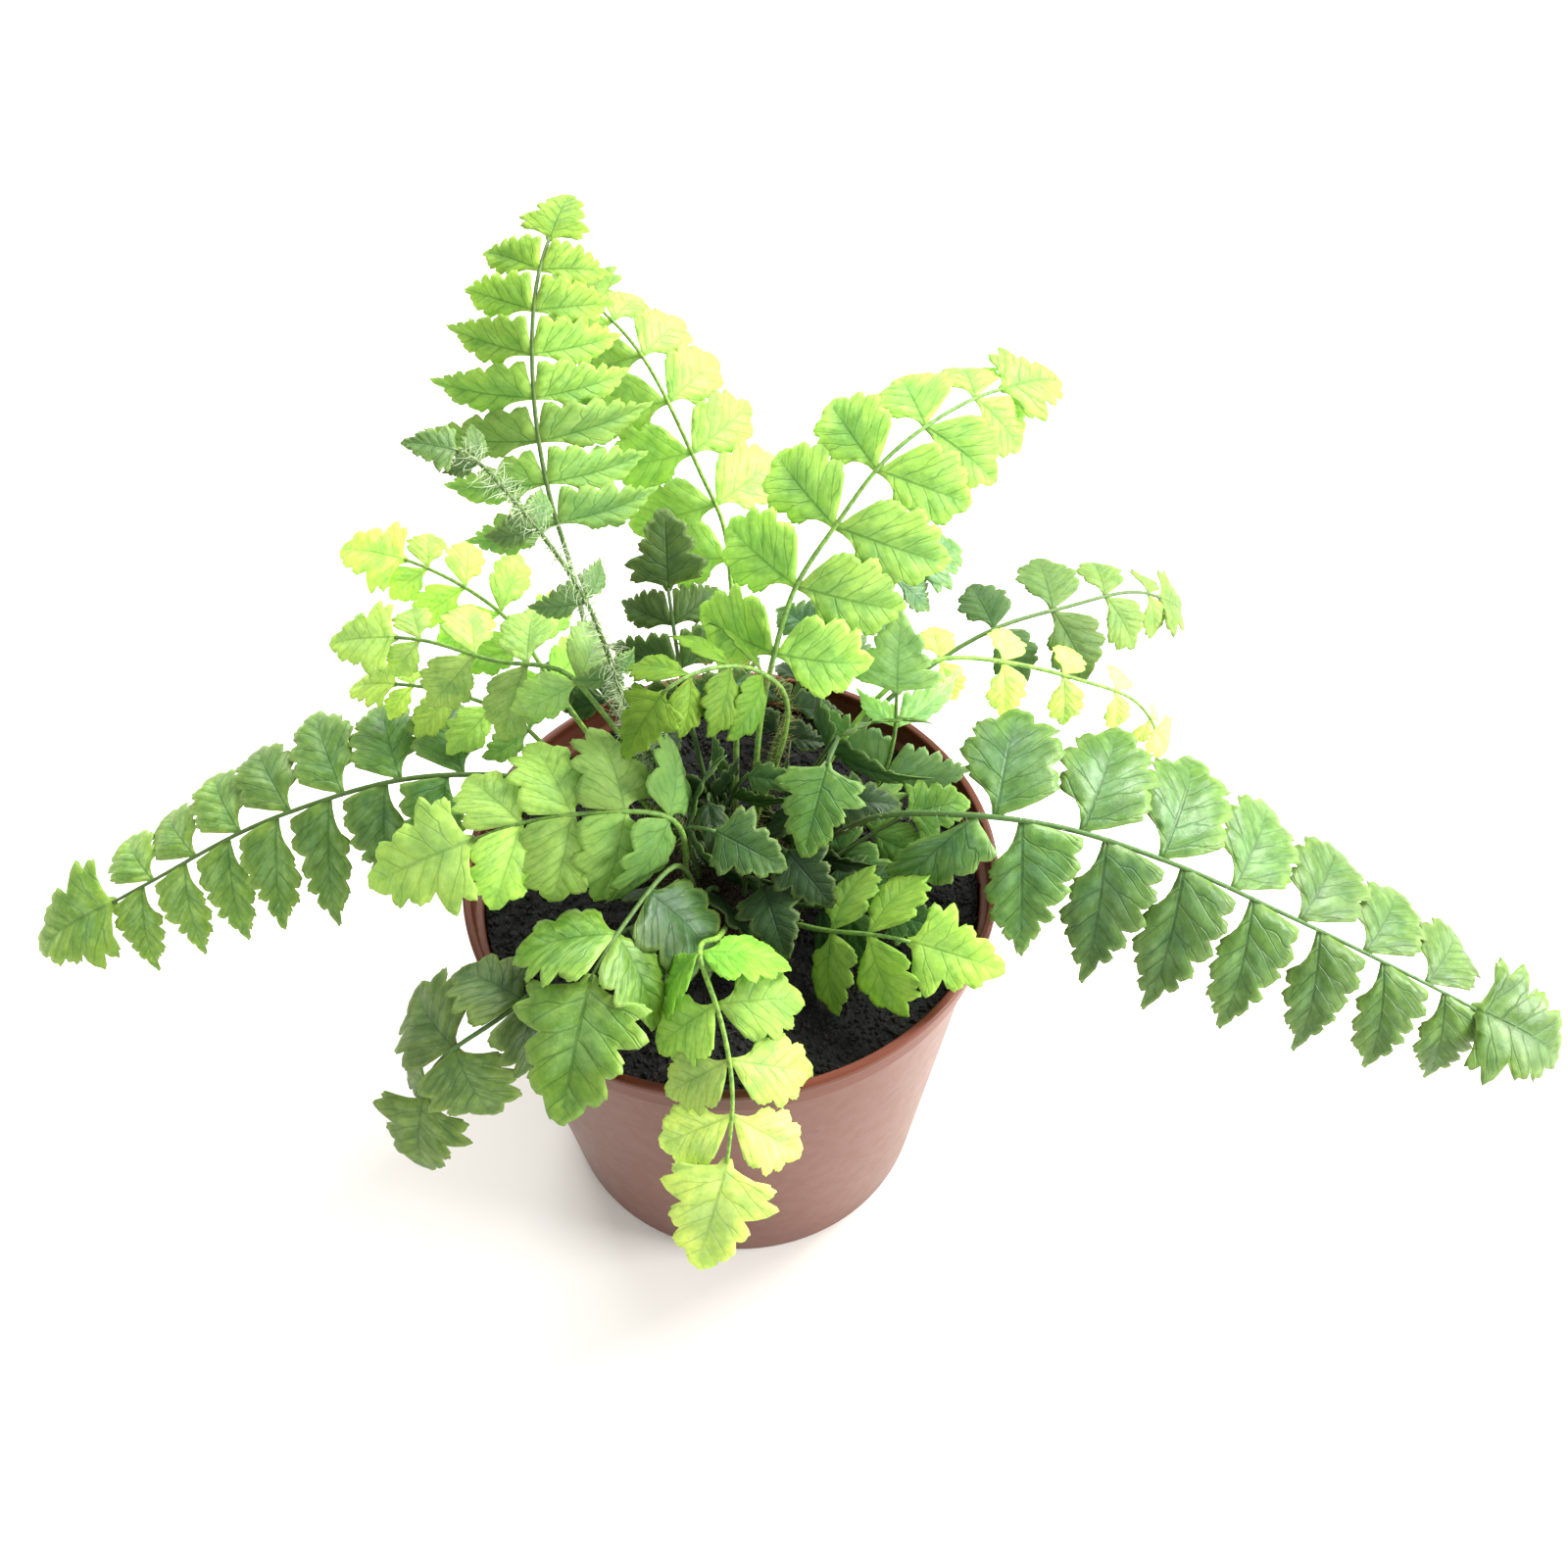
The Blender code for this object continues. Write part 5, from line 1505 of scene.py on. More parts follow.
def mesh_arrays(mesh: bpy.types.Mesh) -> tuple[np.ndarray, np.ndarray]:
    """A mesh's points in millimetres and its triangles."""
    mesh.calc_loop_triangles()
    points = np.empty(len(mesh.vertices) * 3)
    mesh.vertices.foreach_get("co", points)
    faces = np.empty(len(mesh.loop_triangles) * 3, dtype=np.int32)
    mesh.loop_triangles.foreach_get("vertices", faces)
    return points.reshape(-1, 3) / MM, faces.reshape(-1, 3)


def thickened(points: np.ndarray, faces: np.ndarray, rim: np.ndarray, thickness: float) -> tuple:
    """A closed shell below an open sheet: all its points twice, and its triangles with a rim."""
    a, b, c = (points[faces[:, corner]] for corner in range(3))
    normals = np.zeros_like(points)
    flat = np.cross(b - a, c - a)
    for corner in range(3):
        np.add.at(normals, faces[:, corner], flat)
    normals /= np.maximum(np.linalg.norm(normals, axis=1, keepdims=True), 1e-12)
    count = len(points)
    start, end = rim[:, 0], rim[:, 1]
    walls = np.concatenate(
        [np.stack([start, start + count, end], 1), np.stack([end, start + count, end + count], 1)]
    )
    both = np.concatenate([points, points - normals * thickness])
    return both, np.concatenate([faces, faces[:, ::-1] + count, walls])


class FernFronds:
    """All the fronds, grown from the table."""

    STEM_STEP = 2.5
    STEM_SIDES = 8

    def __init__(self) -> None:
        """Draws the flat leaves and makes the shared node groups."""
        fan = (FANNED_WEDGE, FANNED_LOBES, FANNED_WEDGE_BACK)
        cuts = {
            LeafForm.POINTED: (POINTED_WEDGE, POINTED_LOBES, POINTED_WEDGE_BACK, 2, SHARP_TOOTH),
            LeafForm.ROUND: (ROUND_WEDGE, ROUND_LOBES, ROUND_WEDGE_BACK, 3, BLUNT_TOOTH),
            LeafForm.FANNED: (*fan, 3, BLUNT_TOOTH),
            LeafForm.CUT_FAN: (*fan, 2, CUT_TOOTH),
        }
        end = (END_WEDGE, END_LOBES, END_WEDGE_BACK, 2)
        seeds = range(VARIANTS)
        self.leaflets = {
            form: [FlatLeaf(*cut, seed) for seed in seeds] for form, cut in cuts.items()
        }
        self.ends = {
            form: [FlatLeaf(*end, cut[-1], seed) for seed in seeds] for form, cut in cuts.items()
        }
        self.leaf_skin = leaf_skin()
        self.stem_skin = stem_skin()
        self.tube_tree = stem_tube_tree()
        self.hair_tree = hair_tree()
        self.stems = {frond.name: Stem(frond) for frond in FRONDS}

    def blade_part(self, placed: Placed, form: LeafForm, part: PieceMesh, rng: random.Random) -> None:
        """Adds one leaflet to the piece, folded, ruffled and twisted a little."""
        leaf = rng.choice((self.ends if placed.is_end else self.leaflets)[form])
        x, y = leaf.flat[:, 0], leaf.flat[:, 1]
        phase = rng.uniform(0, math.tau)
        far = np.abs(y)
        start = (x - VEIN_SLOPE * far - VEIN_CURVE * far * far) / (1 + VEIN_SPREAD * far)
        side = start + VEIN_STEP * VEIN_STAGGER * (y > 0)
        quilt = QUILT * np.sin(math.pi * side / VEIN_STEP) ** 2 * smooth_step(far, *QUILT_REACH)
        crease = CREASE * smooth_step(far, *CREASE_REACH) * smooth_step(x, *CREASE_START)
        droop = TIP_DROOP * np.clip((x - DROOP_FROM) / (1 - DROOP_FROM), 0, None) ** 2
        angle = np.arctan2(y, x - RUFFLE_CENTRE)
        edge = smooth_step(1 - leaf.inside, *RUFFLE_REACH) * smooth_step(x, *RUFFLE_START)
        ruffle = RUFFLE * np.sin(RUFFLES * angle + phase) * edge
        twist = math.radians(rng.uniform(-WARP_TWIST, WARP_TWIST))
        points = placed.blade.points(leaf.flat, quilt + crease + ruffle - droop, twist)
        faces = leaf.faces
        rim = leaf.rim
        a, b, c = (points[faces[0, corner]] for corner in range(3))
        if np.dot(np.cross(b - a, c - a), placed.blade.normal) < 0:
            faces, rim = faces[:, ::-1], rim[:, ::-1]
        shell, walls = thickened(points, faces, rim, BLADE_THICKNESS)
        values = np.stack([np.full(len(x), placed.share), np.full(len(x), rng.random()), leaf.inside], 1)
        part.add(shell, walls, np.tile(leaf.flat, (2, 1)), np.tile(values, (2, 1)), 0)

    def stem_part(self, stem: Stem, material: bpy.types.Material) -> bpy.types.Mesh:
        """A frond's stem as a mesh, made by the tube tree."""
        count = math.ceil((stem.rib_end + SOCKET_DEPTH) / self.STEM_STEP)
        step = (stem.rib_end + SOCKET_DEPTH) / count
        places = [stem.frame(index * step - SOCKET_DEPTH)[0] * MM for index in range(count + 1)]
        line = bpy.data.meshes.new("line")
        line.from_pydata(places, [(index, index + 1) for index in range(count)], [])
        values = {
            "Foot Radius": STEM_WIDTH / 2 * MM, "Tip Radius": TIP_WIDTH / 2 * MM,
            "Sides": self.STEM_SIDES, "Material": material,
        }
        return run_tree(line, self.tube_tree, values)

    def frond_piece(self, frond: Frond, crowd: Crowd) -> None:
        """Builds and dresses one frond."""
        stem = self.stems[frond.name]
        rng = random.Random("fine " + frond.node)
        part = PieceMesh()
        forms = LEAF_FORMS.get(frond.name, (LeafForm.POINTED, LeafForm.POINTED))
        for placed in FrondPlan(frond, stem, crowd).place_all():
            self.blade_part(placed, forms[placed.side < 0], part, rng)
        blade = LEAF_FINISHES[frond.name].material(f"{frond.node}_blade", self.leaf_skin)
        rachis = STEM_FINISHES[frond.tone].material(f"{frond.node}_stem", self.stem_skin)
        tube = self.stem_part(stem, rachis)
        points, faces = mesh_arrays(tube)
        along = np.empty(len(tube.vertices))
        tube.attributes["along"].data.foreach_get("value", along)
        values = np.stack([along, np.zeros_like(along), np.zeros_like(along)], 1)
        part.add(points, faces, np.zeros((len(points), 2)), values, 1)
        place_piece(frond.node, part.mesh(frond.node), [blade, rachis], frond.tone, frond.node)
        if frond.name in HAIRS:
            HAIRS[frond.name].grow(f"{frond.node}_hairs", tube, self.hair_tree, frond.tone)

    def build(self) -> None:
        """Builds every frond in the table's order."""
        crowd = Crowd(self.stems)
        for frond in FRONDS:
            self.frond_piece(frond, crowd)


ROUND_LEAVED = (
    "left_mid front_left front_left_low inner_far_right inner_low_right inner_front inner_left "
    "inner_mid_left inner_near"
)
FAN_LEAVED = (
    "right_up top_behind left_up_yellow left_up_green left_low_yellow right_back_green "
    "right_back_yellow front front_right centre_young"
)

# How the leaflets on a frond's left and right are cut, where they aren't pointed
LEAF_FORMS = {
    **dict.fromkeys(ROUND_LEAVED.split(), (LeafForm.ROUND, LeafForm.ROUND)),
    **dict.fromkeys(FAN_LEAVED.split(), (LeafForm.FANNED, LeafForm.FANNED)),
    "right": (LeafForm.CUT_FAN, LeafForm.POINTED),
    "left_low": (LeafForm.POINTED, LeafForm.CUT_FAN),
}
SHEER = {"vein_depth": 0.32, "margin": 0.06, "core": 0.34, "painted_sheen_and_blotches": 0.15, "glow": 0.47, "gloss": 0.14}
HEARTED = {**SHEER, "vein_depth": 0.50, "core": 0.85, "margin": 0.16}
DIM = {"painted_sheen_and_blotches": 0.35, "gloss": 0.26}
# The dark colours of centre_dark and the inner fronds, which take DIM, are painted shade: darkened for
# the shade deep inside the plant
LEAF_FINISHES = {
    "left_low": LeafFinish((108, 149, 62), (152, 186, 70)),
    "left_mid": LeafFinish((130, 168, 85), (218, 250, 130), **SHEER),
    "front_left": LeafFinish((68, 101, 41), (128, 165, 58)),
    "front_left_low": LeafFinish((103, 128, 53), (124, 156, 50)),
    "front": LeafFinish((158, 213, 80), (236, 250, 140), **SHEER),
    "front_right": LeafFinish((172, 208, 94), (180, 216, 94), **SHEER),
    "right": LeafFinish((101, 140, 60), (100, 134, 44)),
    "right_up": LeafFinish((192, 226, 112), (194, 232, 112), **HEARTED),
    "top": LeafFinish((160, 194, 106), (182, 214, 90), **HEARTED),
    "top_behind": LeafFinish((204, 240, 128), (186, 220, 110), **SHEER),
    "young_hairy": LeafFinish((112, 150, 74), (98, 130, 58), painted_sheen_and_blotches=0.2),
    "left_up_yellow": LeafFinish((207, 250, 122), (224, 250, 129), **SHEER),
    "left_up_green": LeafFinish((180, 212, 121), (218, 245, 130), **SHEER),
    "left_low_yellow": LeafFinish((164, 203, 108), (228, 250, 120), **SHEER),
    "centre_dark": LeafFinish((70, 100, 40), (88, 116, 45), **DIM),
    "centre_young": LeafFinish((109, 148, 49), (138, 174, 58), **SHEER),
    "right_back_upright": LeafFinish((172, 206, 138), (202, 235, 156), **SHEER),
    "right_back_yellow": LeafFinish((228, 250, 136), (240, 252, 142), **SHEER),
    "right_back_green": LeafFinish((106, 137, 81), (167, 193, 100), **SHEER),
    "back_right_dark": LeafFinish((92, 132, 66), (118, 158, 84)),
    "inner_right": LeafFinish((80, 116, 54), (100, 140, 58), **DIM),
    "inner_far_right": LeafFinish((106, 148, 70), (128, 172, 70), **DIM),
    "inner_low_right": LeafFinish((70, 104, 50), (84, 122, 58), **DIM),
    "inner_back_left": LeafFinish((50, 74, 34), (62, 90, 40), **DIM),
    "inner_back": LeafFinish((50, 74, 34), (60, 88, 40), **DIM),
    "inner_front": LeafFinish((46, 72, 34), (56, 84, 38), **DIM),
    "inner_left": LeafFinish((54, 80, 38), (66, 96, 42), **DIM),
    "inner_centre": LeafFinish((38, 60, 28), (46, 72, 30), **DIM),
    "inner_mid_left": LeafFinish((42, 66, 30), (52, 78, 34), **DIM),
    "inner_mid_back": LeafFinish((46, 70, 32), (56, 84, 36), **DIM),
    "inner_high": LeafFinish((72, 106, 50), (88, 126, 56), **DIM),
    "inner_near": LeafFinish((44, 68, 32), (54, 80, 36), **DIM),
}

STEM_FINISHES = {
    Slot.DARK: StemFinish((64, 90, 40)),
    Slot.DEEP: StemFinish((74, 108, 50)),
    Slot.MID: StemFinish((80, 108, 48)),
    Slot.BRIGHT: StemFinish((104, 142, 58)),
    Slot.YELLOW: StemFinish((128, 168, 66)),
}


# The look of all hairs: paler and darker patches, and the light that comes through
HAIR_PATCHES = Pattern(300.0, 2.0, 0.5, 0.35, 0.65)
HAIR_SHADE = 0.6
HAIR_ROUGHNESS = 0.55
HAIR_GLOW = 0.3


@dataclass(frozen=True)
class HairFinish:
    """Hairs: how many to a square metre, how long and wide in mm, and their colour."""

    density: float
    length: float
    width: float
    colour: Colour
    seed: int
    lean: float = 0.8
    bend: float = 0.5

    def material(self) -> bpy.types.Material:
        """The hairs' material, which lets some light through."""
        build = MaterialBuilder(f"hair_{self.seed}")
        patches = HAIR_PATCHES.at(build.place())
        colour = build.mix(patches, opaque(self.colour, HAIR_SHADE), opaque(self.colour))
        return build.dress(colour, HAIR_ROUGHNESS, glow=HAIR_GLOW)

    def grow(self, name: str, mesh: bpy.types.Mesh, tree: bpy.types.NodeTree, slot: Slot) -> None:
        """Grows the hairs on a mesh, as a piece of their own."""
        material = self.material()
        values = {
            "Density": self.density, "Length": self.length * MM, "Width": self.width * MM,
            "Lean": self.lean, "Bend": self.bend, "Seed": self.seed, "Material": material,
        }
        place_piece(name, run_tree(mesh, tree, values), [material], slot)


PALE_HAIR = linear(226, 242, 200)
GOLD_HAIR = linear(170, 160, 84)
HAIRS = {
    "young_hairy": HairFinish(3.6e6, 4.6, 0.26, PALE_HAIR, 1),
    "centre_young": HairFinish(1.6e6, 3.0, 0.13, GOLD_HAIR, 2),
    "right_up": HairFinish(2.5e5, 1.6, 0.10, GOLD_HAIR, 3),
    "top": HairFinish(2.5e5, 1.5, 0.10, GOLD_HAIR, 4),
    "left_mid": HairFinish(3.0e5, 1.8, 0.12, GOLD_HAIR, 5),
    "inner_left": HairFinish(5.0e5, 2.0, 0.12, GOLD_HAIR, 6),
    "right": HairFinish(2.0e5, 1.6, 0.12, PALE_HAIR, 7),
}


def made_mesh(name: str, shape: bmesh.types.BMesh) -> bpy.types.Mesh:
    """A mesh of the shape, which is used up."""
    mesh = bpy.data.meshes.new(name)
    shape.to_mesh(mesh)
    shape.free()
    return mesh


def turned_mesh(name: str, profile: list[tuple[float, float]], steps: int) -> bpy.types.Mesh:
    """A closed solid turned about Z from a profile.

    Its faces are made one by one, so that they come in the same order in each run, which what is
    strewn over them depends on.

    Args:
        name: the mesh's name.
        profile: radii and heights, from the axis above outwards, down and back to the axis below.
        steps: how many pieces a turn has.

    Returns:
        The mesh, with its faces looking out.
    """
    (_, top), *ring, (_, bottom) = profile
    points = [(0, 0, top * MM), (0, 0, bottom * MM)]
    faces = []
    count = len(ring)
    for step in range(steps):
        angle = math.tau * step / steps
        points += [
            (radius * math.cos(angle) * MM, radius * math.sin(angle) * MM, height * MM)
            for radius, height in ring
        ]
        here, there = 2 + step * count, 2 + (step + 1) % steps * count
        faces.append((0, here, there))
        faces += [(here + i, here + i + 1, there + i + 1, there + i) for i in range(count - 1)]
        faces.append((here + count - 1, 1, there + count - 1))
    mesh = bpy.data.meshes.new(name)
    mesh.from_pydata(points, [], faces)
    shade_smooth(mesh)
    return mesh


def rounded(points: list[tuple[float, float]], radii: dict[int, float], steps: int = 4) -> list:
    """A profile with some of its corners rounded.

    Args:
        points: the profile's corners.
        radii: how far the rounding reaches along both sides, by the corner's number.
        steps: how many pieces each rounding has.

    Returns:
        The new profile.
    """
    made = []
    for index, point in enumerate(points):
        if index not in radii:
            made.append(point)
            continue
        here = Vector(point)
        start, end = (
            here + side.normalized() * min(radii[index], side.length * 0.45)
            for side in (Vector(points[index - 1]) - here, Vector(points[index + 1]) - here)
        )
        for step in range(steps + 1):
            t = step / steps
            place = start * (1 - t) ** 2 + here * 2 * t * (1 - t) + end * t * t
            made.append((place.x, place.y))
    return made


@dataclass(frozen=True)
class PlasticFinish:
    """Brown-rose moulded plastic with a soft gloss, scuffs and specks of soil."""

    body: Colour = linear(100, 57, 44)
    rim: Colour = linear(92, 45, 28)
    speck: Colour = linear(52, 30, 22)
    cloud: Pattern = Pattern(22.0, 3.0, 0.5, 0.3, 0.7)
    specks: Pattern = Pattern(420.0, 2.0, 0.6, 0.72, 0.76)
    scuffs: Pattern = Pattern(240.0, 4.0, 0.65, 0.3, 0.7, 0.34, 0.39)
    grain: float = 1400.0
    paler: float = 1.04
    bead_depth: float = 0.3
    bead_fade: float = 0.5
    speck_reach: tuple = (0.05, 0.098, 0.25, 1.0)
    gloss: float = 0.22
    relief: tuple[float, float] = (0.06, 0.0002)

    def material(self) -> bpy.types.Material:
        """The pot's material."""
        build = MaterialBuilder("pot_plastic_fine")
        where = build.place()
        height = build.split(where)[2]
        rim_start = (POT_HEIGHT - BEAD_HEIGHT - self.bead_depth) * MM
        at_rim = height.ramp(rim_start, rim_start + self.bead_fade * MM)
        body = build.mix(self.cloud.at(where), opaque(self.body), opaque(self.body, self.paler))
        coloured = build.mix(at_rim, body, opaque(self.rim))
        specks = self.specks.at(where)
        near_rim = height.ramp(*self.speck_reach)
        specked = build.mix(specks * near_rim, coloured, opaque(self.speck))
        relief = where.noise(self.grain) + specks
        return build.dress(specked, self.scuffs.at(where), self.gloss, relief, self.relief)


@dataclass
class Pot:
    """The moulded pot: bead, collar, tapered wall, foot ring and drain holes."""

    finish: PlasticFinish = PlasticFinish()
    drain_sides: int = 24
    drill_length: float = 8.0
    smooth_angle: float = 38.0

    @staticmethod
    def outer_radius(height: float) -> float:
        """Radius of the tapered outside below the collar."""
        top = RIM_RADIUS - BEAD_OVERHANG - COLLAR_STEP
        return BASE_RADIUS + (top - BASE_RADIUS) * height / POT_HEIGHT

    def profile(self) -> list[tuple[float, float]]:
        """The wall's section from the axis inside, over the rim, and back to the axis below."""
        collar_bottom = POT_HEIGHT - COLLAR_HEIGHT
        bead_bottom = POT_HEIGHT - BEAD_HEIGHT
        collar_radius = RIM_RADIUS - BEAD_OVERHANG
        floor = FOOT_RECESS + POT_WALL
        foot_inner = BASE_RADIUS - FOOT_WIDTH
        corners = [
            (0, POT_WALL),
            (PAD_RADIUS - POT_WALL, POT_WALL),
            (PAD_RADIUS, floor),
            (self.outer_radius(floor) - POT_WALL, floor),
            (self.outer_radius(collar_bottom) - POT_WALL, collar_bottom),
            (collar_radius - POT_WALL, collar_bottom + COLLAR_STEP),
            (collar_radius - POT_WALL, POT_HEIGHT),
            (RIM_RADIUS, POT_HEIGHT),
            (RIM_RADIUS, bead_bottom),
            (collar_radius, bead_bottom),
            (collar_radius, collar_bottom),
            (self.outer_radius(collar_bottom), collar_bottom - COLLAR_STEP),
            (BASE_RADIUS, 0),
            (foot_inner, 0),
            (foot_inner - FOOT_ROUND, FOOT_RECESS),
            (PAD_RADIUS + FOOT_ROUND, FOOT_RECESS),
            (PAD_RADIUS, 0),
            (0, 0),
        ]
        radii = {2: 0.5, 3: 1.5, 4: 0.5, 5: 0.5, 6: 0.7, 7: 0.8, 8: 0.8, 9: 0.5, 10: 0.4, 11: 0.6,
                 12: 1.0, 13: 0.6, 14: 0.6, 15: 0.5, 16: 0.5}
        return rounded(corners, radii)

    def drills(self) -> bpy.types.Mesh:
        """Rods that cut the drain holes."""
        shape = bmesh.new()
        for index in range(DRAIN_HOLES):
            angle = math.tau * (index + 0.5) / DRAIN_HOLES
            centre = Vector((math.cos(angle), math.sin(angle), 0)) * DRAIN_CIRCLE_RADIUS
            bmesh.ops.create_cone(
                shape, cap_ends=True, segments=self.drain_sides, radius1=DRAIN_HOLE_RADIUS * MM,
                radius2=DRAIN_HOLE_RADIUS * MM, depth=self.drill_length * MM,
                matrix=Matrix.Translation((centre + Vector((0, 0, FOOT_RECESS))) * MM),
            )
        return made_mesh("drain_drills", shape)

    def build(self) -> None:
        """Turns the wall, cuts the drain holes and dresses it."""
        holder = linked("pot_blank", turned_mesh("pot_fine", self.profile(), FINE_POT_STEPS))
        drill = linked("drain_drills", self.drills())
        cut = holder.modifiers.new("drains", "BOOLEAN")
        cut.operation = "DIFFERENCE"
        cut.object = drill
        graph = bpy.context.evaluated_depsgraph_get()
        made = bpy.data.meshes.new_from_object(holder.evaluated_get(graph))
        bpy.data.objects.remove(holder)
        bpy.data.objects.remove(drill)
        shade_smooth(made)
        made.set_sharp_from_angle(angle=math.radians(self.smooth_angle))
        place_piece("pot_fine", made, [self.finish.material()], Slot.POT, "pot")


@dataclass(frozen=True)
class EarthFinish:
    """Dark damp peat: near black, with browner grains and little gloss."""

    name: str = "soil_fine"
    dark: Colour = (0.0036, 0.0042, 0.0046)
    light: Colour = (0.018, 0.014, 0.011)
    grain: float = 700.0
    roughness: float = 0.82
    clod_scale: float = 0.25
    clod_reach: tuple[float, float] = (0.40, 0.70)
    grain_reach: tuple[float, float] = (0.45, 0.70)
    smoother: float = 0.16
    rougher: float = 0.1
    gloss: float = 0.3
    relief: tuple[float, float] = (0.9, 0.0012)

    def material(self) -> bpy.types.Material:
        """The soil's material."""
        build = MaterialBuilder(self.name)
        where = build.place()
        clods = where.noise(self.grain * self.clod_scale, 4.0, 0.6)
        grains = where.noise(self.grain, 4.0, 0.7)
        mixed = clods.ramp(*self.clod_reach) * grains.ramp(*self.grain_reach)
        colour = build.mix(mixed, opaque(self.dark), opaque(self.light))
        ends = self.roughness - self.smoother, self.roughness + self.rougher
        return build.dress(
            colour, grains.ramp(0.3, 0.7, *ends), self.gloss, grains + clods, self.relief
        )


@dataclass
class Soil:
    """The soil in the pot: a rough top with crumbs and fibres lying on it."""

    finish: EarthFinish = EarthFinish()
    crumb_finish: EarthFinish = EarthFinish(
        "soil_crumbs", (0.008, 0.008, 0.0075), (0.045, 0.032, 0.022), 1500.0, 0.8
    )
    fibres: HairFinish = HairFinish(2.6e4, 5.0, 0.22, (0.10, 0.062, 0.035), 12, 1.45, 0.7)
    rings: int = 44
    steps: int = 144
    roughness: float = 1.1
    top_depth: float = 4.0
    steepest: float = 0.2
    grains: tuple = ((3.2, (7, 3, 1), 0.55), (1.3, (2, 9, 4), 0.35))
    crumb_density: float = 5.5e5
    crumb_sizes: tuple[float, float] = (0.25, 1.0)
    crumb_flatness: float = 0.6
    crumb_seed: int = 11

    def height(self, x: float, y: float) -> float:
        """Height of the top at this place."""
        radius = math.hypot(x, y)
        rough = SOIL_ROUGHNESS * min(1, max(radius - CROWN_RADIUS, 0) / SOIL_LEVEL_REACH)
        place = Vector((x, y, 0))
        broad = rough * noise.noise(place / SOIL_LUMP_SIZE)
        fine = sum(
            noise.noise(place / size + Vector(shift)) * height for size, shift, height in self.grains
        )
        return SOIL_TOP + broad + self.roughness * fine

    def body(self) -> bpy.types.Mesh:
        """The soil's solid, with the hole that the crown sits in."""
        floor = FOOT_RECESS + POT_WALL + GAP
        top_edge = Pot.outer_radius(SOIL_TOP) - POT_WALL - 2 * GAP
        bottom_edge = Pot.outer_radius(floor) - POT_WALL - 2 * GAP
        hole = CROWN_RADIUS + 2 * GAP
        hole_floor = SOIL_TOP - CROWN_DEPTH - GAP
        radii = [hole + (top_edge - hole) * ring / self.rings for ring in range(self.rings + 1)]
        profile = [(0, hole_floor), (hole, hole_floor)] + [(radius, SOIL_TOP) for radius in radii]
        profile += [(bottom_edge, floor), (0, floor)]
        mesh = turned_mesh("soil_fine", profile, self.steps)
        for vertex in mesh.vertices:
            x, y, z = vertex.co / MM
            if z > SOIL_TOP - GAP and hole - GAP < math.hypot(x, y):
                vertex.co.z = self.height(x, y) * MM
        return mesh

    def top(self, mesh: bpy.types.Mesh) -> bpy.types.Mesh:
        """A copy of only the top's faces, for strewing."""
        shape = bmesh.new()
        shape.from_mesh(mesh)
        low = (SOIL_TOP - self.top_depth) * MM
        away = [
            face for face in shape.faces
            if face.calc_center_median().z < low or face.normal.z < self.steepest
        ]
        bmesh.ops.delete(shape, geom=away, context="FACES")
        return made_mesh("soil_top", shape)

    def build(self, hairs: bpy.types.NodeTree) -> None:
        """Makes the soil and strews it."""
        body = self.body()
        top = self.top(body)
        place_piece("soil_fine", body, [self.finish.material()], Slot.SOIL, "soil")
        crumbs = self.crumb_finish.material()
        smallest, largest = self.crumb_sizes
        values = {
            "Density": self.crumb_density, "Smallest": smallest * MM, "Largest": largest * MM,
            "Flatness": self.crumb_flatness, "Seed": self.crumb_seed, "Material": crumbs,
        }
        place_piece("soil_crumbs", run_tree(top, crumb_tree(), values), [crumbs], Slot.SOIL)
        self.fibres.grow("soil_fibres", top, hairs, Slot.SOIL)


@dataclass
class Crown:
    """The domed rootstock that the stems stand in, clothed in narrow brown scales."""

    finish: EarthFinish = EarthFinish(
        "crown_fine", (0.016, 0.011, 0.006), (0.060, 0.036, 0.018), 900.0, 0.8
    )
    scales: HairFinish = HairFinish(9.0e5, 3.2, 0.5, (0.085, 0.050, 0.024), 13, 0.9, 0.5)
    rings: int = 16
    steps: int = 64
    chamfer: float = 2.0
    buried: float = 1.0
    lump_size: float = 2.4
    lump_height: float = 0.9
    lump_limit: float = 0.2

    def build(self, hairs: bpy.types.NodeTree) -> None:
        """Makes the rootstock and its scales."""
        bottom = SOIL_TOP - CROWN_DEPTH
        radii = [CROWN_RADIUS * ring / self.rings for ring in range(self.rings + 1)]
        profile = [(radius, crown_height(radius, 0)) for radius in radii]
        profile += [
            (CROWN_RADIUS, bottom + self.chamfer), (CROWN_RADIUS - self.chamfer, bottom), (0, bottom)
        ]
        mesh = turned_mesh("crown_fine", profile, self.steps)
        for vertex in mesh.vertices:
            place = vertex.co / MM
            if place.z > SOIL_TOP - self.buried:
                lump = min(noise.noise(place / self.lump_size), self.lump_limit)
                vertex.co.z += lump * self.lump_height * MM
        bare = mesh.copy()
        place_piece("crown_fine", mesh, [self.finish.material()], Slot.CROWN, "crown")
        self.scales.grow("crown_scales", bare, hairs, Slot.CROWN)


@dataclass(frozen=True)
class Lamp:
    """A soft square light: its place seen from the pot, its size and its strength."""

    name: str
    place: tuple[float, float, float]
    size: float
    watts: float
    colour: Colour = (1.0, 1.0, 1.0)
    aim_height: float = 0.12

    def build(self) -> None:
        """Hangs the light, turned to the plant."""
        data = bpy.data.lights.new(self.name, "AREA")
        data.shape = "SQUARE"
        data.size = self.size
        data.energy = self.watts
        data.color = self.colour
        lamp = linked(self.name, data)
        lamp.location = self.place
        aim = Vector((0, 0, self.aim_height)) - Vector(self.place)
        lamp.rotation_euler = aim.to_track_quat("-Z", "Y").to_euler()


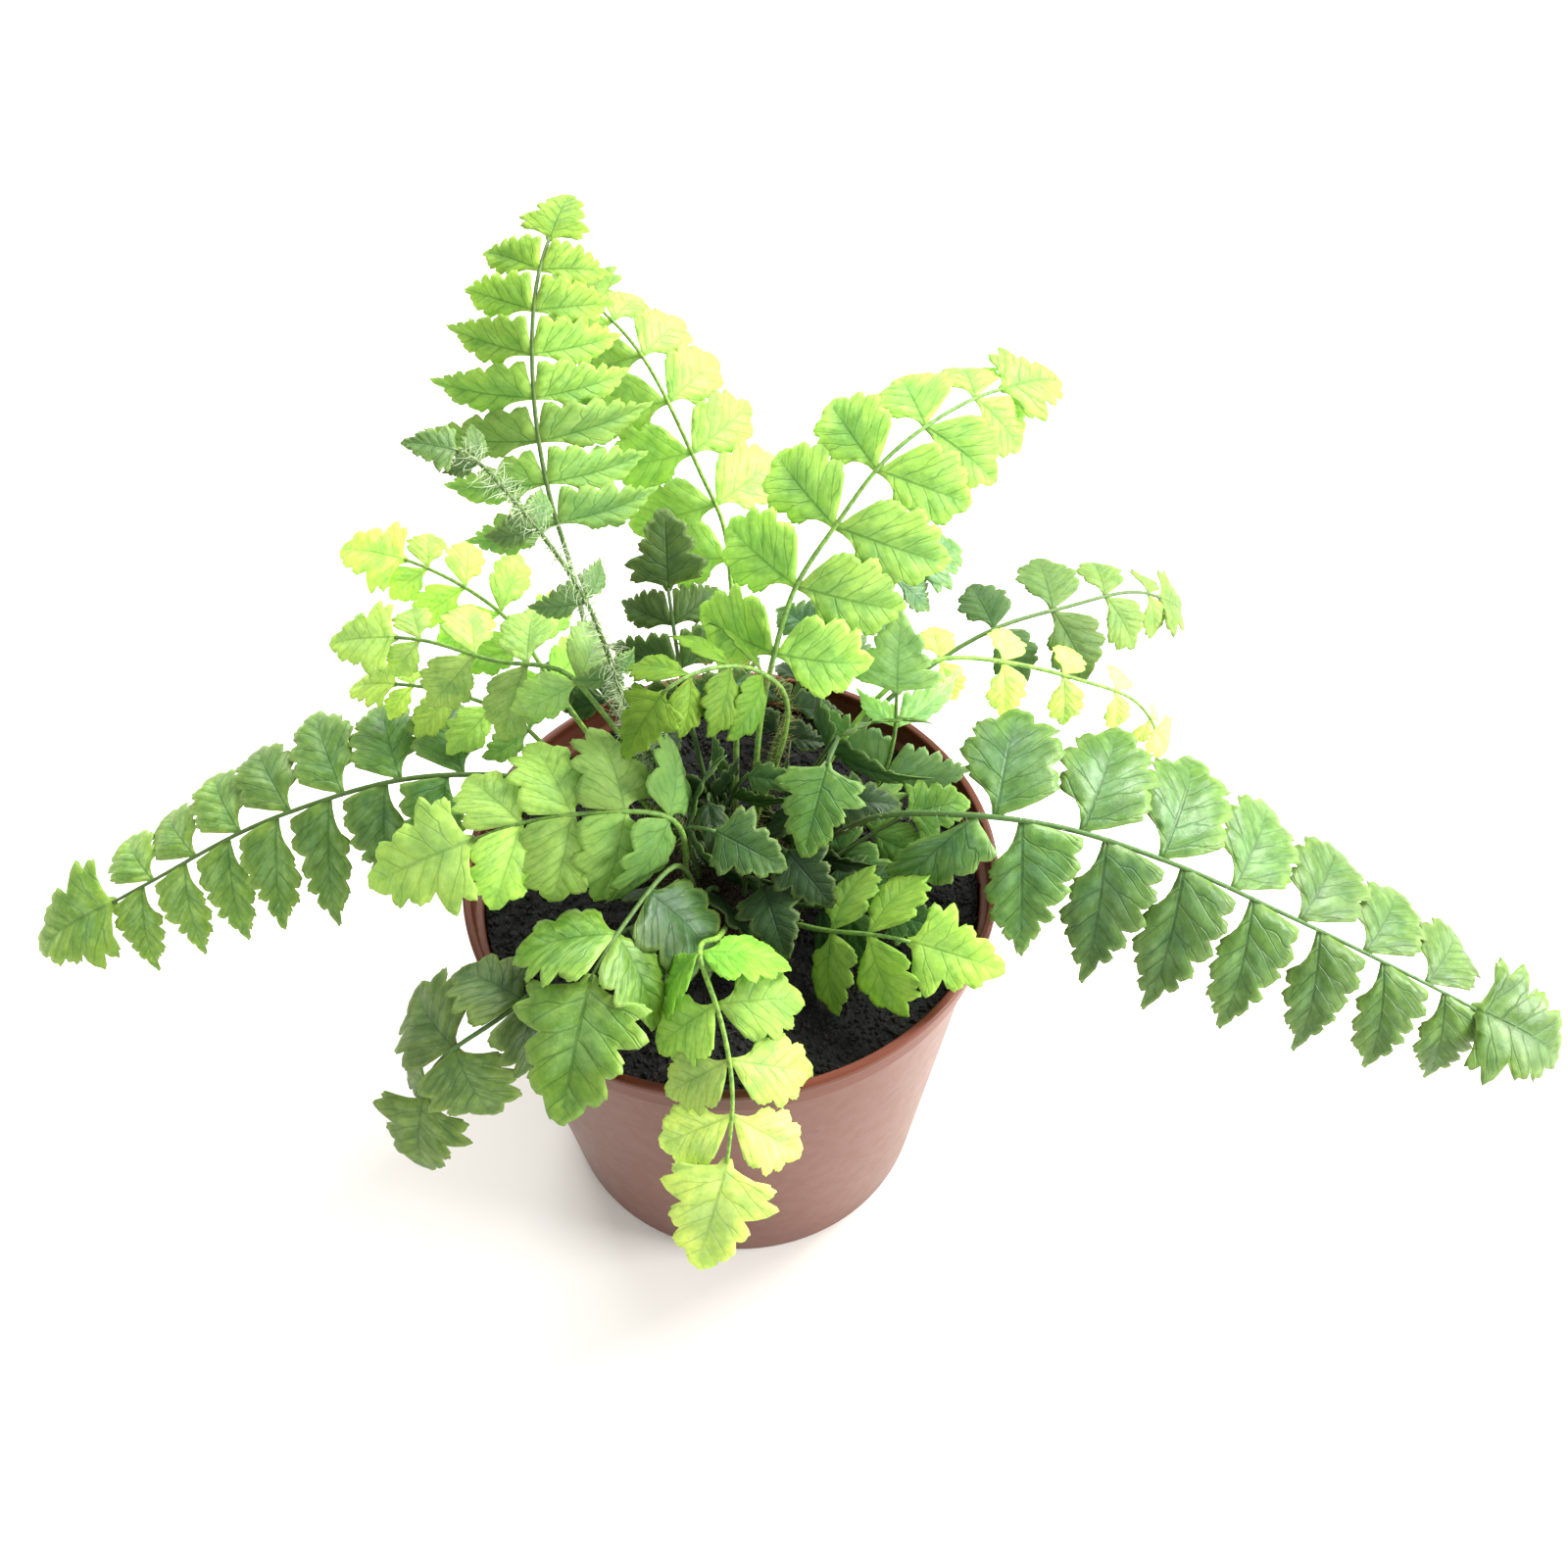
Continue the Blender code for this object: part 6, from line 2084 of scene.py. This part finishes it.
@dataclass
class Studio:
    """The pale floor, the soft light and the camera."""

    floor_colour: Colour = (0.80, 0.775, 0.735)
    floor_size: float = 6.0
    floor_patches: Pattern = Pattern(6.0, 2.0, 0.5, 0.2, 0.8)
    floor_shade: float = 0.985
    floor_roughness: float = 0.9
    floor_gloss: float = 0.1
    ambient: float = 1.00
    lamps: tuple[Lamp, ...] = (
        Lamp("key", (0.80, 0.55, 1.00), 0.60, 36.0, (1.0, 0.985, 0.95)),
        Lamp("back", (-0.25, 1.10, 0.85), 0.80, 15.0),
        Lamp("side", (1.30, -0.20, 0.42), 0.55, 29.0),
    )

    def floor(self) -> None:
        """A plain pale floor under the pot."""
        half = self.floor_size / 2
        mesh = bpy.data.meshes.new("floor")
        corners = [(-half, -half, 0), (half, -half, 0), (half, half, 0), (-half, half, 0)]
        mesh.from_pydata(corners, [], [(0, 1, 2, 3)])
        build = MaterialBuilder("floor")
        darker = opaque(self.floor_colour, self.floor_shade)
        patches = self.floor_patches.at(build.place())
        colour = build.mix(patches, darker, opaque(self.floor_colour))
        mesh.materials.append(build.dress(colour, self.floor_roughness, self.floor_gloss))
        linked("floor", mesh)

    def light(self) -> None:
        """A pale surrounding and the soft lamps."""
        world = bpy.data.worlds.new("studio")
        bpy.context.scene.world = world
        world.use_nodes = True
        background = world.node_tree.nodes["Background"]
        background.inputs["Color"].default_value = (1.0, 1.0, 1.0, 1)
        background.inputs["Strength"].default_value = self.ambient
        for lamp in self.lamps:
            lamp.build()

    def camera(self) -> None:
        """The camera at the photograph's angle."""
        tilt, roll = math.radians(VIEW_ELEVATION), math.radians(VIEW_ROLL)
        back = Vector((0, -math.cos(tilt), math.sin(tilt)))
        right, up = Vector((1, 0, 0)), Vector((0, math.sin(tilt), math.cos(tilt)))
        rolled_right = right * math.cos(roll) - up * math.sin(roll)
        rolled_up = right * math.sin(roll) + up * math.cos(roll)
        turn = Matrix((rolled_right, rolled_up, back)).transposed()
        data = bpy.data.cameras.new("camera")
        data.lens = LENS
        data.sensor_width = SENSOR
        data.dof.use_dof = False
        data.clip_start = 0.01
        camera = linked("camera", data)
        place = (VIEW_TARGET + back * VIEW_DISTANCE) * MM
        camera.matrix_world = Matrix.Translation(place) @ turn.to_4x4()
        bpy.context.scene.camera = camera

    def build(self) -> None:
        """Sets up the studio, and shows colours as they are."""
        self.floor()
        self.light()
        self.camera()
        settings = bpy.context.scene.view_settings
        settings.view_transform = "Standard"
        settings.look = "None"
        settings.exposure = 0.0


def main() -> None:
    """Builds every part of the plant and the studio round it."""
    logging.basicConfig(level=logging.INFO, format="%(name)s %(message)s")
    fronds = FernFronds()
    Pot().build()
    Soil().build(fronds.hair_tree)
    Crown().build(fronds.hair_tree)
    fronds.build()
    Studio().build()


if __name__ == "__main__":
    main()
